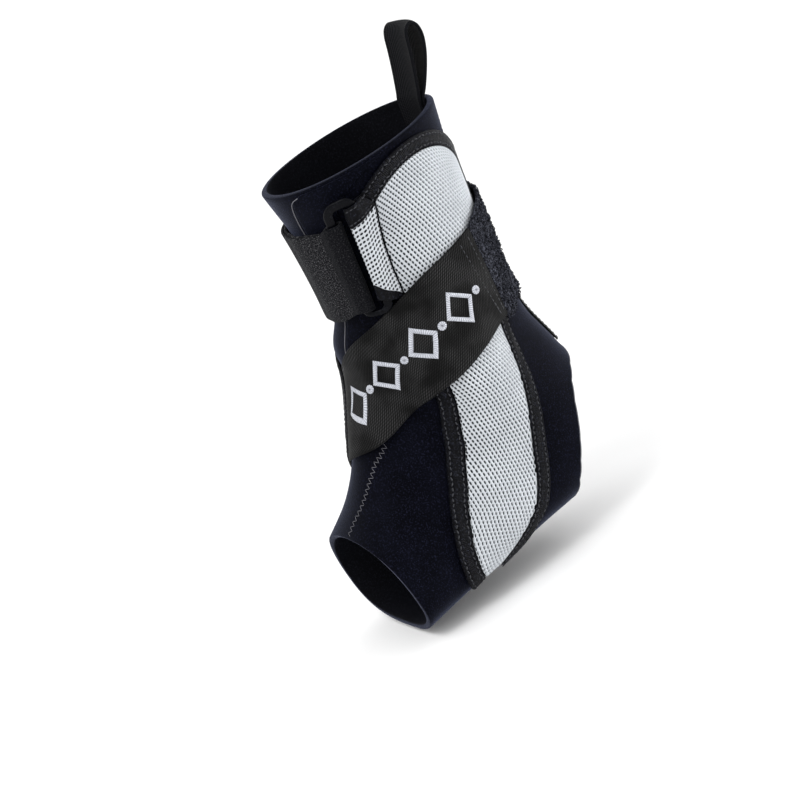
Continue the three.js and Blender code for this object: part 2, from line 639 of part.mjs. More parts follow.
// Upper strap
function strapEnd() {
  const columns = 5;
  const path = strapPath();
  const half = RING_LENGTH / 2;
  return sheet(columns, path.length - 1, (i, j, face) => {
    const here = path[j];
    const aside = strip(path, j, 'along', 1);
    const shift = (face - 0.5) * STRAP_THICK;
    const along = here.along + aside.along * shift;
    const wide = ease((-along - 2) / 20);
    const low = half * mix(STRAP_SIDES.barLow, STRAP_SIDES.wideLow, wide);
    const high = half * mix(STRAP_SIDES.barHigh, STRAP_SIDES.wideHigh, wide);
    const { station, turn } = ringSpot(along, mix(low, high, i / columns));
    return lay(station, turn, strapSeat(station, turn) + here.over + aside.over * shift);
  });
}

// Part of the tab round the ring's second bar, between the seam on the panel and the bar
function ringTab(part, columns) {
  const hold = RING_BAR / 2 + RING_WINDOW;
  const half = RING_LENGTH / 2;
  const path = TAB_PATH.map((row) => ({
    share: row.share,
    over: row.tabs * TAB_THICK + row.gaps * GAP + row.under * UNDER_RING + row.ring * RING_THICK,
  }));
  return sheet(columns, path.length - 1, (i, j, face) => {
    const here = path[j];
    const seam = TAB_HALF * mix(part.seamLow, part.seamHigh, i / columns);
    const bar = half * mix(part.barLow, part.barHigh, i / columns);
    const across = mix(seam, bar, clamp(here.share));
    const level = RING_STATION - across / STATION_MM;
    const above = Math.min(level - INNER_PANEL[0].nearStation, 0);
    const seamTurn = edgeTurn(INNER_PANEL, 'near', level) + TAB_SPLAY * above;
    const end = (seamTurn - 1.2 - RING_TURN - RING_LEAN * across) * TURN_MM;
    const aside = strip(path, j, 'share', hold - end);
    const shift = (face - 0.5) * TAB_THICK;
    const along = mix(end, hold, here.share) + aside.along * shift;
    const { station, turn } = ringSpot(along, across);
    return lay(station, turn, STRAP_SEAT + here.over + aside.over * shift);
  });
}

// Ring: a rounded frame with two long bars, curved to the leg
function cinchRing() {
  const length = RING_LENGTH / 2;
  const width = RING_BAR + RING_WINDOW / 2;
  const middle = RING_BAR / 2 + RING_WINDOW / 2;
  const corner = (along, up, cut) => {
    const points = [];
    for (const [a, b, start] of [[1, 1, 0], [-1, 1, 90], [-1, -1, 180], [1, -1, 270]]) {
      for (let k = 0; k <= 4; k += 1) {
        const turn = radians(start + k * 22.5);
        points.push({
          along: a * (along - cut) + cut * Math.cos(turn),
          up: b * (up - cut) + cut * Math.sin(turn),
        });
      }
      if (start === 90 || start === 270) {
        for (const share of [0.25, 0.5, 0.75]) {
          points.push({ along: a * along, up: b * mix(up - cut, cut - up, share) });
        }
      }
      if (start === 180 || start === 0) {
        points.push({ along: 0, up: b * up });
      }
    }
    return points;
  };
  const cut = RING_CORNER;
  const outer = corner(width, length, cut);
  const inner = corner(RING_WINDOW / 2, length - RING_END_BAR, 2);
  const low = STRAP_SEAT + UNDER_RING;
  const profile = [
    { across: 0, over: 0.25 },
    { across: 0, over: 0.75 },
    { across: 0.15, over: 1 },
    { across: 0.85, over: 1 },
    { across: 1, over: 0.75 },
    { across: 1, over: 0.25 },
    { across: 0.85, over: 0 },
    { across: 0.15, over: 0 },
  ];
  const points = [];
  const faces = [];
  outer.forEach((edge, j) => {
    for (const row of profile) {
      const along = middle + mix(edge.along, inner[j].along, row.across);
      const here = ringSpot(along, mix(edge.up, inner[j].up, row.across));
      points.push(lay(here.station, here.turn, low + row.over * RING_THICK));
    }
  });
  for (let j = 0; j < outer.length; j += 1) {
    for (let k = 0; k < profile.length; k += 1) {
      const next = (j + 1) % outer.length;
      const beyond = (k + 1) % profile.length;
      const a = j * profile.length + k;
      const b = next * profile.length + k;
      const c = next * profile.length + beyond;
      const d = j * profile.length + beyond;
      faces.push([a, b, c], [a, c, d]);
    }
  }
  return closed(points, faces);
}

// Millimetres per degree of turn at a point behind
const perTurn = (station, lift) => lay(station, 180, lift).distanceTo(lay(station, 181, lift));

// Pull loop: one strip that rises from inside the back of the top edge and folds over
function pullLoop() {
  const path = [];
  for (const up of [-1, -0.5, 0]) {
    path.push({ out: -GAP - LOOP_THICK / 2, up: up * LOOP_TAIL });
  }
  for (const row of LOOP_RISE) {
    path.push({ out: row.out * LOOP_BULGE, up: row.up * LOOP_HEIGHT });
  }
  for (const up of [0, -0.5, -1]) {
    path.push({ out: -2 * GAP - LOOP_THICK * 1.5, up: up * LOOP_TAIL });
  }
  const rim = skin(0, 180);
  const rise = rim.clone().sub(skin(0.3, 180)).normalize();
  const fall = rim.distanceTo(skin(0.3, 180)) / 0.3;
  const columns = 3;
  return sheet(columns, path.length - 1, (i, j, face) => {
    const before = path[Math.max(j - 1, 0)];
    const after = path[Math.min(j + 1, path.length - 1)];
    const length = Math.hypot(after.out - before.out, after.up - before.up);
    const shift = (face - 0.5) * LOOP_THICK;
    const out = path[j].out - (shift * (after.up - before.up)) / length;
    const up = path[j].up + (shift * (after.out - before.out)) / length;
    const turn = 180 + ((i / columns - 0.5) * LOOP_WIDTH) / perTurn(0, out);
    const foot = lay(Math.max(-up, 0) / fall, turn, out);
    return foot.addScaledVector(rise, Math.max(up, 0));
  });
}

// Tape over the back seam, from the top edge to the heel opening
function backTape() {
  const steps = 12;
  return sheet(2, steps, (i, j, face) => {
    const station = mix(0.06, 4.1, j / steps);
    const turn = 180 + ((i / 2 - 0.5) * TAPE_WIDTH) / perTurn(station, SEAT);
    return lay(station, turn, SEAT + face * TAPE_THICK);
  });
}

// The brace
const brace = new THREE.Group();
brace.name = 'ankle_brace';

function add(name, geometry, color, roughness) {
  const material = new THREE.MeshStandardMaterial({ color, roughness, metalness: 0 });
  const mesh = new THREE.Mesh(geometry, material);
  mesh.name = name;
  brace.add(mesh);
}

add('leg_sleeve_medial', sleevePart(1, legRows), 0x14151f, 0.8);
add('leg_sleeve_lateral', sleevePart(-1, legRows), 0x14151f, 0.8);
add('foot_sleeve_medial', sleevePart(1, footRows), 0x14151f, 0.8);
add('foot_sleeve_lateral', sleevePart(-1, footRows), 0x14151f, 0.8);
add('front_flap', strap(FLAP, 12, 4, () => STRAP_SEAT, FLAP_THICK), 0x101119, 0.8);
add('medial_mesh_panel', panel(INNER_PANEL, 1, 8), 0xc9ccd2, 0.7);
add('lateral_mesh_panel', panel(OUTER_PANEL, -1, 12), 0xc9ccd2, 0.7);
add('medial_back_binding', binding(backPath(INNER_PANEL, 1, 8), 1), 0x17171c, 0.75);
add('medial_front_binding', binding(frontPath(INNER_PANEL, 1, 5), -1), 0x17171c, 0.75);
add('lateral_back_binding', binding(backPath(OUTER_PANEL, -1, 12), -1), 0x17171c, 0.75);
add('lateral_front_binding', binding(frontPath(OUTER_PANEL, -1, 0), 1), 0x17171c, 0.75);
add('strap_webbing', strap(WEBBING, 20, 6, webbingSeat, WEBBING_THICK), 0x1c1c1f, 0.7);
add('strap_pile', strap(PILE, 21, 6, pileSeat, PILE_THICK), 0x22232d, 0.95);
add('strap_end', strapEnd(), 0x3a3a3e, 0.85);
add('cinch_ring', cinchRing(), 0x0c0d10, 0.35);
add('ring_tab_mesh', ringTab(TAB_MESH, 5), 0xc9ccd2, 0.7);
add('ring_tab_top_binding', ringTab(TAB_TOP, 2), 0x17171c, 0.75);
add('ring_tab_low_binding', ringTab(TAB_LOW, 2), 0x17171c, 0.75);
add('back_tape', backTape(), 0x0d0d10, 0.6);
add('pull_loop', pullLoop(), 0x101012, 0.65);

export default brace;
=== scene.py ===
# %% [markdown]
# # An ankle brace, dressed in Blender
# The CAD model gives the frame: where each piece of the brace sits and how big it is. This lesson lays cloth,
# mesh, stitching and webbing over that frame. Everything is in metres, +X to the inner side of the foot, +Y to
# the heel and +Z up the leg.

# %% Load the frame
import math
import bpy
import numpy as np
from mathutils import Matrix, Vector


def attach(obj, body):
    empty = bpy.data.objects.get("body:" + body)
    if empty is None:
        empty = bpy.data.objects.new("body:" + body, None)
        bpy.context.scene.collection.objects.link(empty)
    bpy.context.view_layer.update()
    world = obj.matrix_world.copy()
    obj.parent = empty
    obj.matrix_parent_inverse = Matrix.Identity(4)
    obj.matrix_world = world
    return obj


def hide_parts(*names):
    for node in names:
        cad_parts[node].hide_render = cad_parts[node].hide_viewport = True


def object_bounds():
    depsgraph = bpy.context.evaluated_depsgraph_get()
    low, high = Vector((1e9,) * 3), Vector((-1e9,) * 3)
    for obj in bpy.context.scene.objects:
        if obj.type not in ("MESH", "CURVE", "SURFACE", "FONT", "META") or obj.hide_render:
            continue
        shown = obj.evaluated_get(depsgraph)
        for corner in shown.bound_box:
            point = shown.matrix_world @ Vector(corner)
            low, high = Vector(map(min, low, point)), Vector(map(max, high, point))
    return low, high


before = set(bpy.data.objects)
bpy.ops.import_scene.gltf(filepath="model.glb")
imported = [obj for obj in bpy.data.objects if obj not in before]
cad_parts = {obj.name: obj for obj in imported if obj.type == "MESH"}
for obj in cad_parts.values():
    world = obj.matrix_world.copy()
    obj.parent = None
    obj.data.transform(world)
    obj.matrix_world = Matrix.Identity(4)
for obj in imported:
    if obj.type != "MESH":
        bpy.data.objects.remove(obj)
cad_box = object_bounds()
bpy.ops.object.select_all(action="DESELECT")
print("CAD nodes:", len(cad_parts), "box", [round(float(c), 3) for corner in cad_box for c in corner])

# %% [markdown]
# ## Camera
# A camera is easiest to place by two angles and a distance. Azimuth and elevation say where it stands round the
# brace, and roll turns the picture, because the leg leans in it. The lens is long, so the brace looks flat and calm.

# %% Place the camera
AZIMUTH, ELEVATION, ROLL = math.radians(70), math.radians(16), math.radians(-27)
DISTANCE, AIM_RIGHT, AIM_UP = 1.4, -0.0258, -0.0124
LENS_MM, SENSOR_MM = 141.75, 36
flat = math.cos(ELEVATION)
back = Vector((math.sin(AZIMUTH) * flat, -math.cos(AZIMUTH) * flat, math.sin(ELEVATION)))
level = Vector((math.cos(AZIMUTH), math.sin(AZIMUTH), 0))
right = level * math.cos(ROLL) + back.cross(level) * math.sin(ROLL)
up = back.cross(level) * math.cos(ROLL) - level * math.sin(ROLL)
eye = back * DISTANCE
look = (eye - right * AIM_RIGHT - up * AIM_UP).normalized()
side = up.cross(look).normalized()
scene = bpy.context.scene
camera = bpy.data.objects.new("camera", bpy.data.cameras.new("camera"))
scene.collection.objects.link(camera)
camera.rotation_mode = "QUATERNION"
camera.rotation_quaternion = Matrix((side, look.cross(side), look)).transposed().to_quaternion()
camera.location = eye
camera.data.lens, camera.data.sensor_width, camera.data.clip_end = LENS_MM, SENSOR_MM, 20
scene.camera = camera
print("camera stands", [round(c, 3) for c in eye])

# %% [markdown]
# ## Light
# The brace stands alone on a pale floor. A dim white world fills the shadows. A very soft sun from straight above
# makes the floor white but leaves the dark sides of the brace dark. Area lamps give the cloth its highlights: one
# on the right, one in front on the left, and one behind.

# %% Light
WORLD_LIGHT, SUN_LIGHT, SUN_SPREAD = 0.26, 2.9, math.radians(175)
scene.world = bpy.data.worlds.new("studio")
scene.world.use_nodes = True
sky = scene.world.node_tree.nodes["Background"].inputs
sky["Color"].default_value, sky["Strength"].default_value = (1, 1, 1, 1), WORLD_LIGHT
scene.view_settings.view_transform, scene.view_settings.look = "Standard", "None"


def lamp(name, kind, place, power):
    made = bpy.data.objects.new(name, bpy.data.lights.new(name, kind))
    made.data.energy, made.location = power, place
    scene.collection.objects.link(made)
    return made


# Each lamp's place is given along the camera's own axes: to the right, up and towards the eye, in metres.
for name, (toward_right, toward_up, toward_eye), size, power in [
    ("key_lamp", (1.0, 0.35, 0.0), 0.5, 16),
    ("fill_lamp", (-0.9, 0.6, 1.0), 0.7, 6.5),
    ("back_lamp", (0.9, 0.2, -0.45), 0.5, 10),
]:
    place = right * toward_right + up * toward_up + back * toward_eye
    made = lamp(name, "AREA", place, power)
    made.data.shape, made.data.size = "DISK", size
    made.rotation_mode, made.rotation_quaternion = "QUATERNION", place.to_track_quat("Z", "Y")
lamp("sky_lamp", "SUN", (0, 0, 2), SUN_LIGHT).data.angle = SUN_SPREAD

# %% [markdown]
# ## The form of the ankle
# All pieces lie on one curved form. A point of it has a station, from 0 at the top edge of the leg to 10 at the
# toe edge, and a turn in degrees: 0 in front, 90 on the inner side, 180 behind. The sections are given at each
# whole station, and a smooth curve runs between them. Numpy works out thousands of points at once.

# %% Sections of the form
LEG_RISE, LEG_DEPTH, LEG_WIDTH = 112, 82, 76
SOLE_DROP, TOE_REACH, HEEL_REACH, FOOT_WIDTH = 74, 84, 54, 76
# Heights of each section's front and back, then how far forward they are, as shares. Breadth: half width to the
# inner and to the outer side, how far back the section is broadest, and how full its back is.
LEG_PROFILE = [(1, 1.04, 0.465, -0.51), (0.72, 0.74, 0.4, -0.445), (0.46, 0.42, 0.4, -0.425)]
LEG_BREADTH = [(0.5, 0.5, 0.5, 2), (0.445, 0.445, 0.5, 2), (0.41, 0.41, 0.5, 2)]
FOOT_PROFILE = [
    (0.44, 0.2, 0.455, -0.685), (0.24, -0.13, 0.52, -0.82), (0.07, -0.48, 0.595, -0.96), (-0.06, -0.8, 0.655, -0.88),
    (-0.17, -0.95, 0.71, -0.5), (-0.27, -1, 0.77, 0.02), (-0.38, -1.05, 0.85, 0.42), (-0.5, -1.13, 0.97, 0.9),
]
FOOT_BREADTH = [
    (0.42, 0.43, 0.48, 2), (0.44, 0.46, 0.44, 2), (0.43, 0.45, 0.42, 2.2), (0.41, 0.43, 0.45, 2.4),
    (0.41, 0.43, 0.52, 2.6), (0.42, 0.44, 0.58, 2.7), (0.44, 0.46, 0.6, 2.8), (0.46, 0.48, 0.62, 2.8),
]
# Ankle bones, hollows beside the heel tendon and the bend in front: station, turn, height, and reach both ways.
SWELLS = [
    (3.75, 82, 0.06, 0.75, 24), (4.15, -96, 0.065, 0.75, 24), (3.9, 138, -0.032, 0.9, 20),
    (3.9, -138, -0.032, 0.9, 20), (2.8, -12, 0.055, 0.4, 24),
]
sections = [
    (front_up * rise, back_up * rise, front * reach, back_out * (reach if back_out >= 0 else heel), inner * width,
     outer * width, broad, full)
    for profile, breadth, rise, reach, heel, width in [
        (LEG_PROFILE, LEG_BREADTH, LEG_RISE, LEG_DEPTH, LEG_DEPTH, LEG_WIDTH),
        (FOOT_PROFILE, FOOT_BREADTH, SOLE_DROP, TOE_REACH, HEEL_REACH, FOOT_WIDTH),
    ]
    for (front_up, back_up, front, back_out), (inner, outer, broad, full) in zip(profile, breadth)
]
print("sections:", len(sections))

# %% Points on the form


def unit(vectors):
    """The same ways, each one long."""
    return vectors / np.linalg.norm(vectors, axis=-1, keepdims=True)


def between(rows, at):
    """A smooth row between the rows of a table, for an array of places."""
    rows = np.asarray(rows, float)
    rows = np.vstack([2 * rows[0] - rows[1], rows, 2 * rows[-1] - rows[-2]])
    here = np.clip(at, 0, len(rows) - 3)
    i = np.minimum(here.astype(int), len(rows) - 4)
    u = (here - i)[..., None]
    a, b, c, d = rows[i], rows[i + 1], rows[i + 2], rows[i + 3]
    return 0.5 * (2 * b + (c - a) * u + (2 * a - 5 * b + 4 * c - d) * u**2 + (3 * b - a - 3 * c + d) * u**3)


def skin(station, turn):
    """A point of the form: each section is two half ovals in its own slanted plane, with the swells added."""
    station, turn = np.broadcast_arrays(np.asarray(station, float), np.asarray(turn, float))
    row = np.moveaxis(between(sections, station), -1, 0)
    front_up, back_up, front_out, back_out, inner, outer, broad, full_back = row
    cos, sin = np.cos(np.radians(turn)), np.sin(np.radians(turn))
    out, rise = front_out - back_out, front_up - back_up
    depth = np.hypot(out, rise)
    reach = np.where(cos >= 0, broad, 1 - broad) * depth
    half = np.where(sin >= 0, inner, outer)
    full = np.where(cos >= 0, 2.1, full_back)
    radius = (np.abs(cos / reach) ** full + np.abs(sin / half) ** full) ** (-1 / full)
    for at, middle, height, far, spread in SWELLS:
        away = (turn - middle + 180) % 360 - 180
        radius = radius + height * FOOT_WIDTH * np.exp(-0.5 * (((station - at) / far) ** 2 + (away / spread) ** 2))
    forward = front_out - out / depth * (broad * depth - radius * cos)
    height = front_up - rise / depth * (broad * depth - radius * cos)
    return np.stack([radius * sin, -forward, height], axis=-1)


def outward(station, turn):
    """The way straight out of the form at a point."""
    station, turn = np.asarray(station, float), np.asarray(turn, float)
    down = skin(np.minimum(station + 0.02, 10), turn) - skin(np.maximum(station - 0.02, 0), turn)
    return unit(np.cross(down, skin(station, turn + 0.5) - skin(station, turn - 0.5)))


def lay(station, turn, lift):
    """A point that lies lift millimetres outside the skin."""
    return skin(station, turn) + outward(station, turn) * np.asarray(lift, float)[..., None]


print("front of the top edge", lay(0, 0, 3).round(1))

# %% [markdown]
# ## Cloth from a grid
# A sheet of cloth starts as Blender's grid primitive. Each of its points is then moved on to the form. The grid
# also gets a UV map in real millimetres along the cloth, so that a weave keeps its true size wherever the cloth
# turns. The Solidify modifier gives the sheet its thickness and Bevel softens its cut edges.

# %% Mend, turn and thicken


def select_only(piece):
    bpy.ops.object.select_all(action="DESELECT")
    piece.select_set(True)
    bpy.context.view_layer.objects.active = piece


def mend(piece, join_mm=0.0, consistent=False, flip=False):
    """In edit mode, with all selected: joins points that meet, turns all faces outward or turns them over."""
    select_only(piece)
    bpy.ops.object.mode_set(mode="EDIT")
    bpy.ops.mesh.select_all(action="SELECT")
    if join_mm:
        bpy.ops.mesh.remove_doubles(threshold=join_mm / 1000)
    if consistent:
        bpy.ops.mesh.normals_make_consistent(inside=False)
    if flip:
        bpy.ops.mesh.flip_normals()
    bpy.ops.object.mode_set(mode="OBJECT")


def face_outward(piece):
    """Turns a piece's faces over if they look to the middle of the leg. Says how much they looked out, -1 to 1."""
    middle, faces = Vector((0, -0.01, 0)), piece.data.polygons
    total = sum(face.normal.dot((face.center - middle).normalized()) * face.area for face in faces)
    if total < 0:
        mend(piece, flip=True)
    return round(total / sum(face.area for face in faces), 2)


def thicken(piece, thick, offset=0, edge=0.0, angle=60, even=False, inner=0, rim=0):
    """Solidify, then Bevel on the cut edges, both applied. Offset 1 grows outward and -1 inward. Sizes in mm."""
    select_only(piece)
    wall = piece.modifiers.new("thickness", "SOLIDIFY")
    wall.thickness, wall.offset, wall.use_quality_normals = thick / 1000, offset, even
    wall.material_offset, wall.material_offset_rim = inner, rim
    bpy.ops.object.modifier_apply(modifier="thickness")
    if edge:
        soft = piece.modifiers.new("edge", "BEVEL")
        soft.width, soft.segments = edge / 1000, 2
        soft.limit_method, soft.angle_limit = "ANGLE", math.radians(angle)
        bpy.ops.object.modifier_apply(modifier="edge")
    piece.data.shade_smooth()


print("mend, face_outward and thicken ready")

# %% A grid on the form


def lengths(points, axis):
    """Distance run along one way of a grid of points, starting from 0."""
    step = np.linalg.norm(np.diff(points, axis=axis), axis=-1)
    return np.concatenate([np.zeros_like(np.take(step, [0], axis=axis)), np.cumsum(step, axis=axis)], axis=axis)


def line_run(line):
    """Distance run along a line of points."""
    return lengths(line[None], 1)[0]


def grid_piece(name, points, uv=None):
    """A grid primitive whose points are moved to an array of rows and columns, in millimetres."""
    rows, columns = points.shape[:2]
    bpy.ops.object.select_all(action="DESELECT")
    bpy.ops.mesh.primitive_grid_add(x_subdivisions=columns - 1, y_subdivisions=rows - 1, size=1)
    piece = bpy.context.object
    piece.name = piece.data.name = name
    piece.data.vertices.foreach_set("co", (points.reshape(-1, 3) / 1000).ravel())
    if uv is None:
        uv = np.stack([lengths(points, 1), lengths(points, 0)], axis=-1)
    corners = np.empty(len(piece.data.loops), int)
    piece.data.loops.foreach_get("vertex_index", corners)
    layer = piece.data.uv_layers[0] if piece.data.uv_layers else piece.data.uv_layers.new(name="cloth")
    layer.name = "cloth"
    layer.data.foreach_set("uv", (uv.reshape(-1, 2)[corners] / 1000).ravel())
    piece.data.shade_smooth()
    piece.data.update()
    return piece


print("grid ready")

# %% Copies of a shape, and a piece's place in the part


def as_points(piece):
    """The points and faces of a modelled shape. The shape itself is taken away."""
    points = np.array([v.co[:] for v in piece.data.vertices])
    faces = [list(p.vertices) for p in piece.data.polygons]
    bpy.data.objects.remove(piece)
    return points, faces


def copies(name, shapes, faces, finish):
    """One piece from many copies of a small shape. Each row of shapes holds the points of one, in millimetres."""
    size = shapes.shape[1]
    mesh = bpy.data.meshes.new(name)
    mesh.from_pydata((shapes.reshape(-1, 3) / 1000).tolist(), [],
                     [[k * size + v for v in face] for k in range(len(shapes)) for face in faces])
    piece = bpy.data.objects.new(name, mesh)
    scene.collection.objects.link(piece)
    mesh.materials.append(finish)
    mesh.shade_smooth()
    return piece


def place_in_part(piece, finish=None, node=None):
    """The finish of a piece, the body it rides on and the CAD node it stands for."""
    if finish:
        piece.data.materials.append(finish)
    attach(piece, "root")
    if node:
        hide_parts(node)


print("helpers ready")

# %% [markdown]
# ## Writing materials as expressions
# A material is a small network of nodes. It is easier to read as arithmetic, so one class wraps a socket and
# adds a Math node for each operator. Any other node comes from one method that takes its type and its values.

# %% Shader helper


class Value:
    """A socket that can be added, multiplied and taken away like a number."""

    def __init__(self, finish, socket):
        self.finish, self.socket = finish, socket

    def do(self, operation, *others):
        return self.finish.add("ShaderNodeMath", {"operation": operation}, dict(enumerate((self, *others))))

    def __add__(self, other): return self.do("ADD", other)
    def __mul__(self, other): return self.do("MULTIPLY", other)
    def __sub__(self, other): return self.do("SUBTRACT", other)
    def __rsub__(self, other): return self * -1 + other
    __radd__, __rmul__ = __add__, __mul__

    def stripes(self, pitch):
        """Soft stripes from 0 to 1, pitch millimetres apart."""
        return (self * (2 * math.pi / pitch)).do("SINE") * 0.5 + 0.5


class Finish:
    """A material being written: add() makes any node, surface() joins it to the shader."""

    def __init__(self, name):
        self.material = bpy.data.materials.new(name)
        self.material.use_nodes = True
        self.tree = self.material.node_tree

    def fill(self, sockets, values):
        for key, value in values.items():
            if isinstance(value, Value):
                self.tree.links.new(value.socket, sockets[key])
            else:
                sockets[key].default_value = value

    def add(self, kind, settings, values, output=0):
        node = self.tree.nodes.new(kind)
        for key, value in settings.items():
            setattr(node, key, value)
        self.fill(node.inputs, values)
        return Value(self, node.outputs[output])

    def in_mm(self, place):
        return self.add("ShaderNodeVectorMath", {"operation": "MULTIPLY"}, {0: place, 1: (1000, 1000, 1000)})

    def cloth_mm(self):
        """Across and along the cloth, and both as one vector, in millimetres, from the UV map."""
        flat = self.in_mm(self.add("ShaderNodeUVMap", {"uv_map": "cloth"}, {}))
        return *(self.add("ShaderNodeSeparateXYZ", {}, {0: flat}, output) for output in (0, 1)), flat

    def noise(self, scale, detail=2.0, rough=0.5, place=None):
        """Noise at the point of the brace itself, or on another place in millimetres."""
        place = place or self.in_mm(self.add("ShaderNodeTexCoord", {}, {}, "Object"))
        values = {"Vector": place, "Scale": scale, "Detail": detail, "Roughness": rough}
        return self.add("ShaderNodeTexNoise", {}, values)

    def blend(self, share, dark, light):
        """A colour between two colours."""
        return self.add("ShaderNodeMix", {"data_type": "RGBA"}, {0: share, 6: (*dark, 1), 7: (*light, 1)}, 2)

    def soft_step(self, value, low, high):
        return self.add("ShaderNodeMapRange", {"interpolation_type": "SMOOTHSTEP"}, {0: value, 1: low, 2: high})

    def surface(self, color, rough, relief=None, depth=0.0, strength=1.0, sheen=0.0, tint=(1, 1, 1), sheen_rough=0.3,
                specular=0.3):
        """Joins colour, roughness and relief (depth in millimetres) to the shader."""
        values = {"Base Color": color, "Roughness": rough, "Sheen Weight": sheen, "Sheen Tint": (*tint, 1),
                  "Sheen Roughness": sheen_rough, "Specular IOR Level": specular}
        if relief:
            bump = {"Strength": strength, "Distance": depth / 1000, "Height": relief}
            values["Normal"] = self.add("ShaderNodeBump", {}, bump)
        self.fill(self.tree.nodes["Principled BSDF"].inputs, values)
        return self.material


print("shader helper ready")

# %% [markdown]
# ## Finishes
# Each finish is what one material of the real brace shows: the fine knit of the sleeve, the twill of the strap,
# the fuzz of its loop side, the ribs of the pull loop. Stripes read the UV map, so that they follow the cloth, and
# noise reads the point of the brace itself. Both are in millimetres.

# %% Sleeve jersey, binding and tape


def jersey_finish(name, dark, light, sheen):
    """Fine knit: dots of painted highlight where its loops would catch the light, and more of them in large soft
    patches.
    """
    new = Finish(name)
    grain = new.noise(1.5, 2.0, 0.7)
    # Painted highlight: light dots on the knit's loops, with more of them in large soft patches.
    painted_highlight_specks = new.soft_step(grain, 0.5, 0.75) * 1.1 + new.soft_step(new.noise(0.05), 0.35, 0.75) * 0.14
    color = new.blend(painted_highlight_specks, dark, light)
    return new.surface(color, 0.55 + grain * 0.2, grain, depth=0.25, strength=0.6, sheen=sheen,
                       tint=(0.55, 0.62, 0.95), sheen_rough=0.35, specular=0.025)


def ribbon_finish(name, dark, light, rib_mm, rough):
    """Glossy ribbon: fine ribs across it, and crumples that are glossier and lighter in colour: painted highlight."""
    new = Finish(name)
    rib = new.cloth_mm()[1].stripes(rib_mm)
    crumple, fuzz = new.noise(1.1, 3.0, 0.7), new.noise(2.6)
    # The crumples are glossier, and their colour is made lighter there as painted highlight.
    gloss_and_painted_glint = new.soft_step(crumple, 0.5, 0.75)
    color, relief = new.blend(gloss_and_painted_glint * fuzz * 1.5, dark, light), rib * 0.25 + crumple * 0.8 + fuzz * 0.3
    return new.surface(color, rough - gloss_and_painted_glint * 0.15, relief, depth=0.9, strength=0.9, specular=0.1)


jersey = jersey_finish("sleeve_jersey", (0.0005, 0.0006, 0.0018), (0.0085, 0.0096, 0.021), 0.17)
lining = jersey_finish("sleeve_lining", (0.002, 0.0021, 0.003), (0.008, 0.0085, 0.012), 0.02)
binding_cloth = ribbon_finish("binding_cloth", (0.0007, 0.0008, 0.0018), (0.03, 0.033, 0.05), 0.7, 0.435)
tape_cloth = ribbon_finish("tape_cloth", (0.0015, 0.0015, 0.002), (0.008, 0.008, 0.011), 0.6, 0.4175)
print("jersey, lining, binding and tape")

# %% Webbing twill and ribbed loop


def twill_finish(name, dark, light, pitch):
    """Twill: slanted ridges over the threads, with painted fold shading that makes it lighter in large soft patches."""
    new = Finish(name)
    across, along = new.cloth_mm()[:2]
    weave = (across + along).stripes(pitch) * 0.65 + across.stripes(pitch * 0.8) * 0.35
    # Painted fold shading: large soft patches where the twill's colour is lighter.
    painted_fold_shading = new.soft_step(new.noise(0.05, 2.0, 0.6), 0.38, 0.62)
    color = new.blend(weave * weave * (0.2 + painted_fold_shading * 0.9), dark, light)
    return new.surface(color, 0.45 + weave * 0.2, weave, depth=0.3, strength=0.8, specular=0.07)


def ribbed_finish(name, dark, light, pitch):
    """Ribbed webbing: cords along it, crossed by fine threads."""
    new = Finish(name)
    across, along = new.cloth_mm()[:2]
    weave = across.stripes(pitch) * 0.7 + along.stripes(0.7) * 0.3
    color = new.blend(weave, dark, light)
    return new.surface(color, 0.5 + weave * 0.2, weave, depth=0.6, strength=0.9, specular=0.045)


webbing_twill = twill_finish("webbing_twill", (0.0004, 0.0004, 0.0004), (0.038, 0.038, 0.039), 1.25)
loop_webbing = ribbed_finish("loop_webbing", (0.0006, 0.0006, 0.0009), (0.008, 0.0085, 0.011), 1.5)
print("twill and ribs")

# %% Finishes of one noise


def noise_finish(name, noise, dark, light, rough, depth=0.0, step=None, **more):
    """One noise sets both the colour and the relief. A step makes its flecks sharper."""
    new = Finish(name)
    grain = new.noise(*noise)
    share = new.soft_step(grain, *step) if step else grain
    return new.surface(new.blend(share, dark, light), rough, grain if depth else None, depth, **more)


foam_edge = noise_finish("foam_edge", (1.6,), (0.09, 0.095, 0.11), (0.3, 0.31, 0.34), 0.9, 0.2)
# The pile's pale flecks are painted highlight on its loops.
pile_cloth = noise_finish("strap_pile", (1.3, 3.0, 0.7), (0.0018, 0.002, 0.0035), (0.085, 0.09, 0.115), 0.9, 0.5,
                          (0.42, 0.7), sheen=0.02, tint=(0.7, 0.75, 1), sheen_rough=0.5, specular=0.08)
# The core's dark colour is painted shade in the mesh's holes. Its flecks are the core's threads.
mesh_spacer = noise_finish("mesh_spacer", (1.1, 3.0, 0.8), (0.006, 0.0065, 0.008), (0.12, 0.125, 0.135), 0.8, 0.4,
                           (0.45, 0.75), specular=0.2)
THREAD = {"sheen": 0.02, "specular": 0.2}
# The black thread's pale flecks are painted highlight.
black_thread = noise_finish("black_thread", (3.0,), (0.002, 0.002, 0.003), (0.085, 0.088, 0.1), 0.3, 0.1, **THREAD)
grey_thread = noise_finish("grey_thread", (3.0,), (0.05, 0.05, 0.06), (0.2, 0.2, 0.22), 0.45, 0.1, **THREAD)
floor_paint = noise_finish("floor_paint", (0.004,), (0.9, 0.9, 0.9), (0.93, 0.93, 0.93), 0.9)
print("foam, pile, spacer, threads and floor")

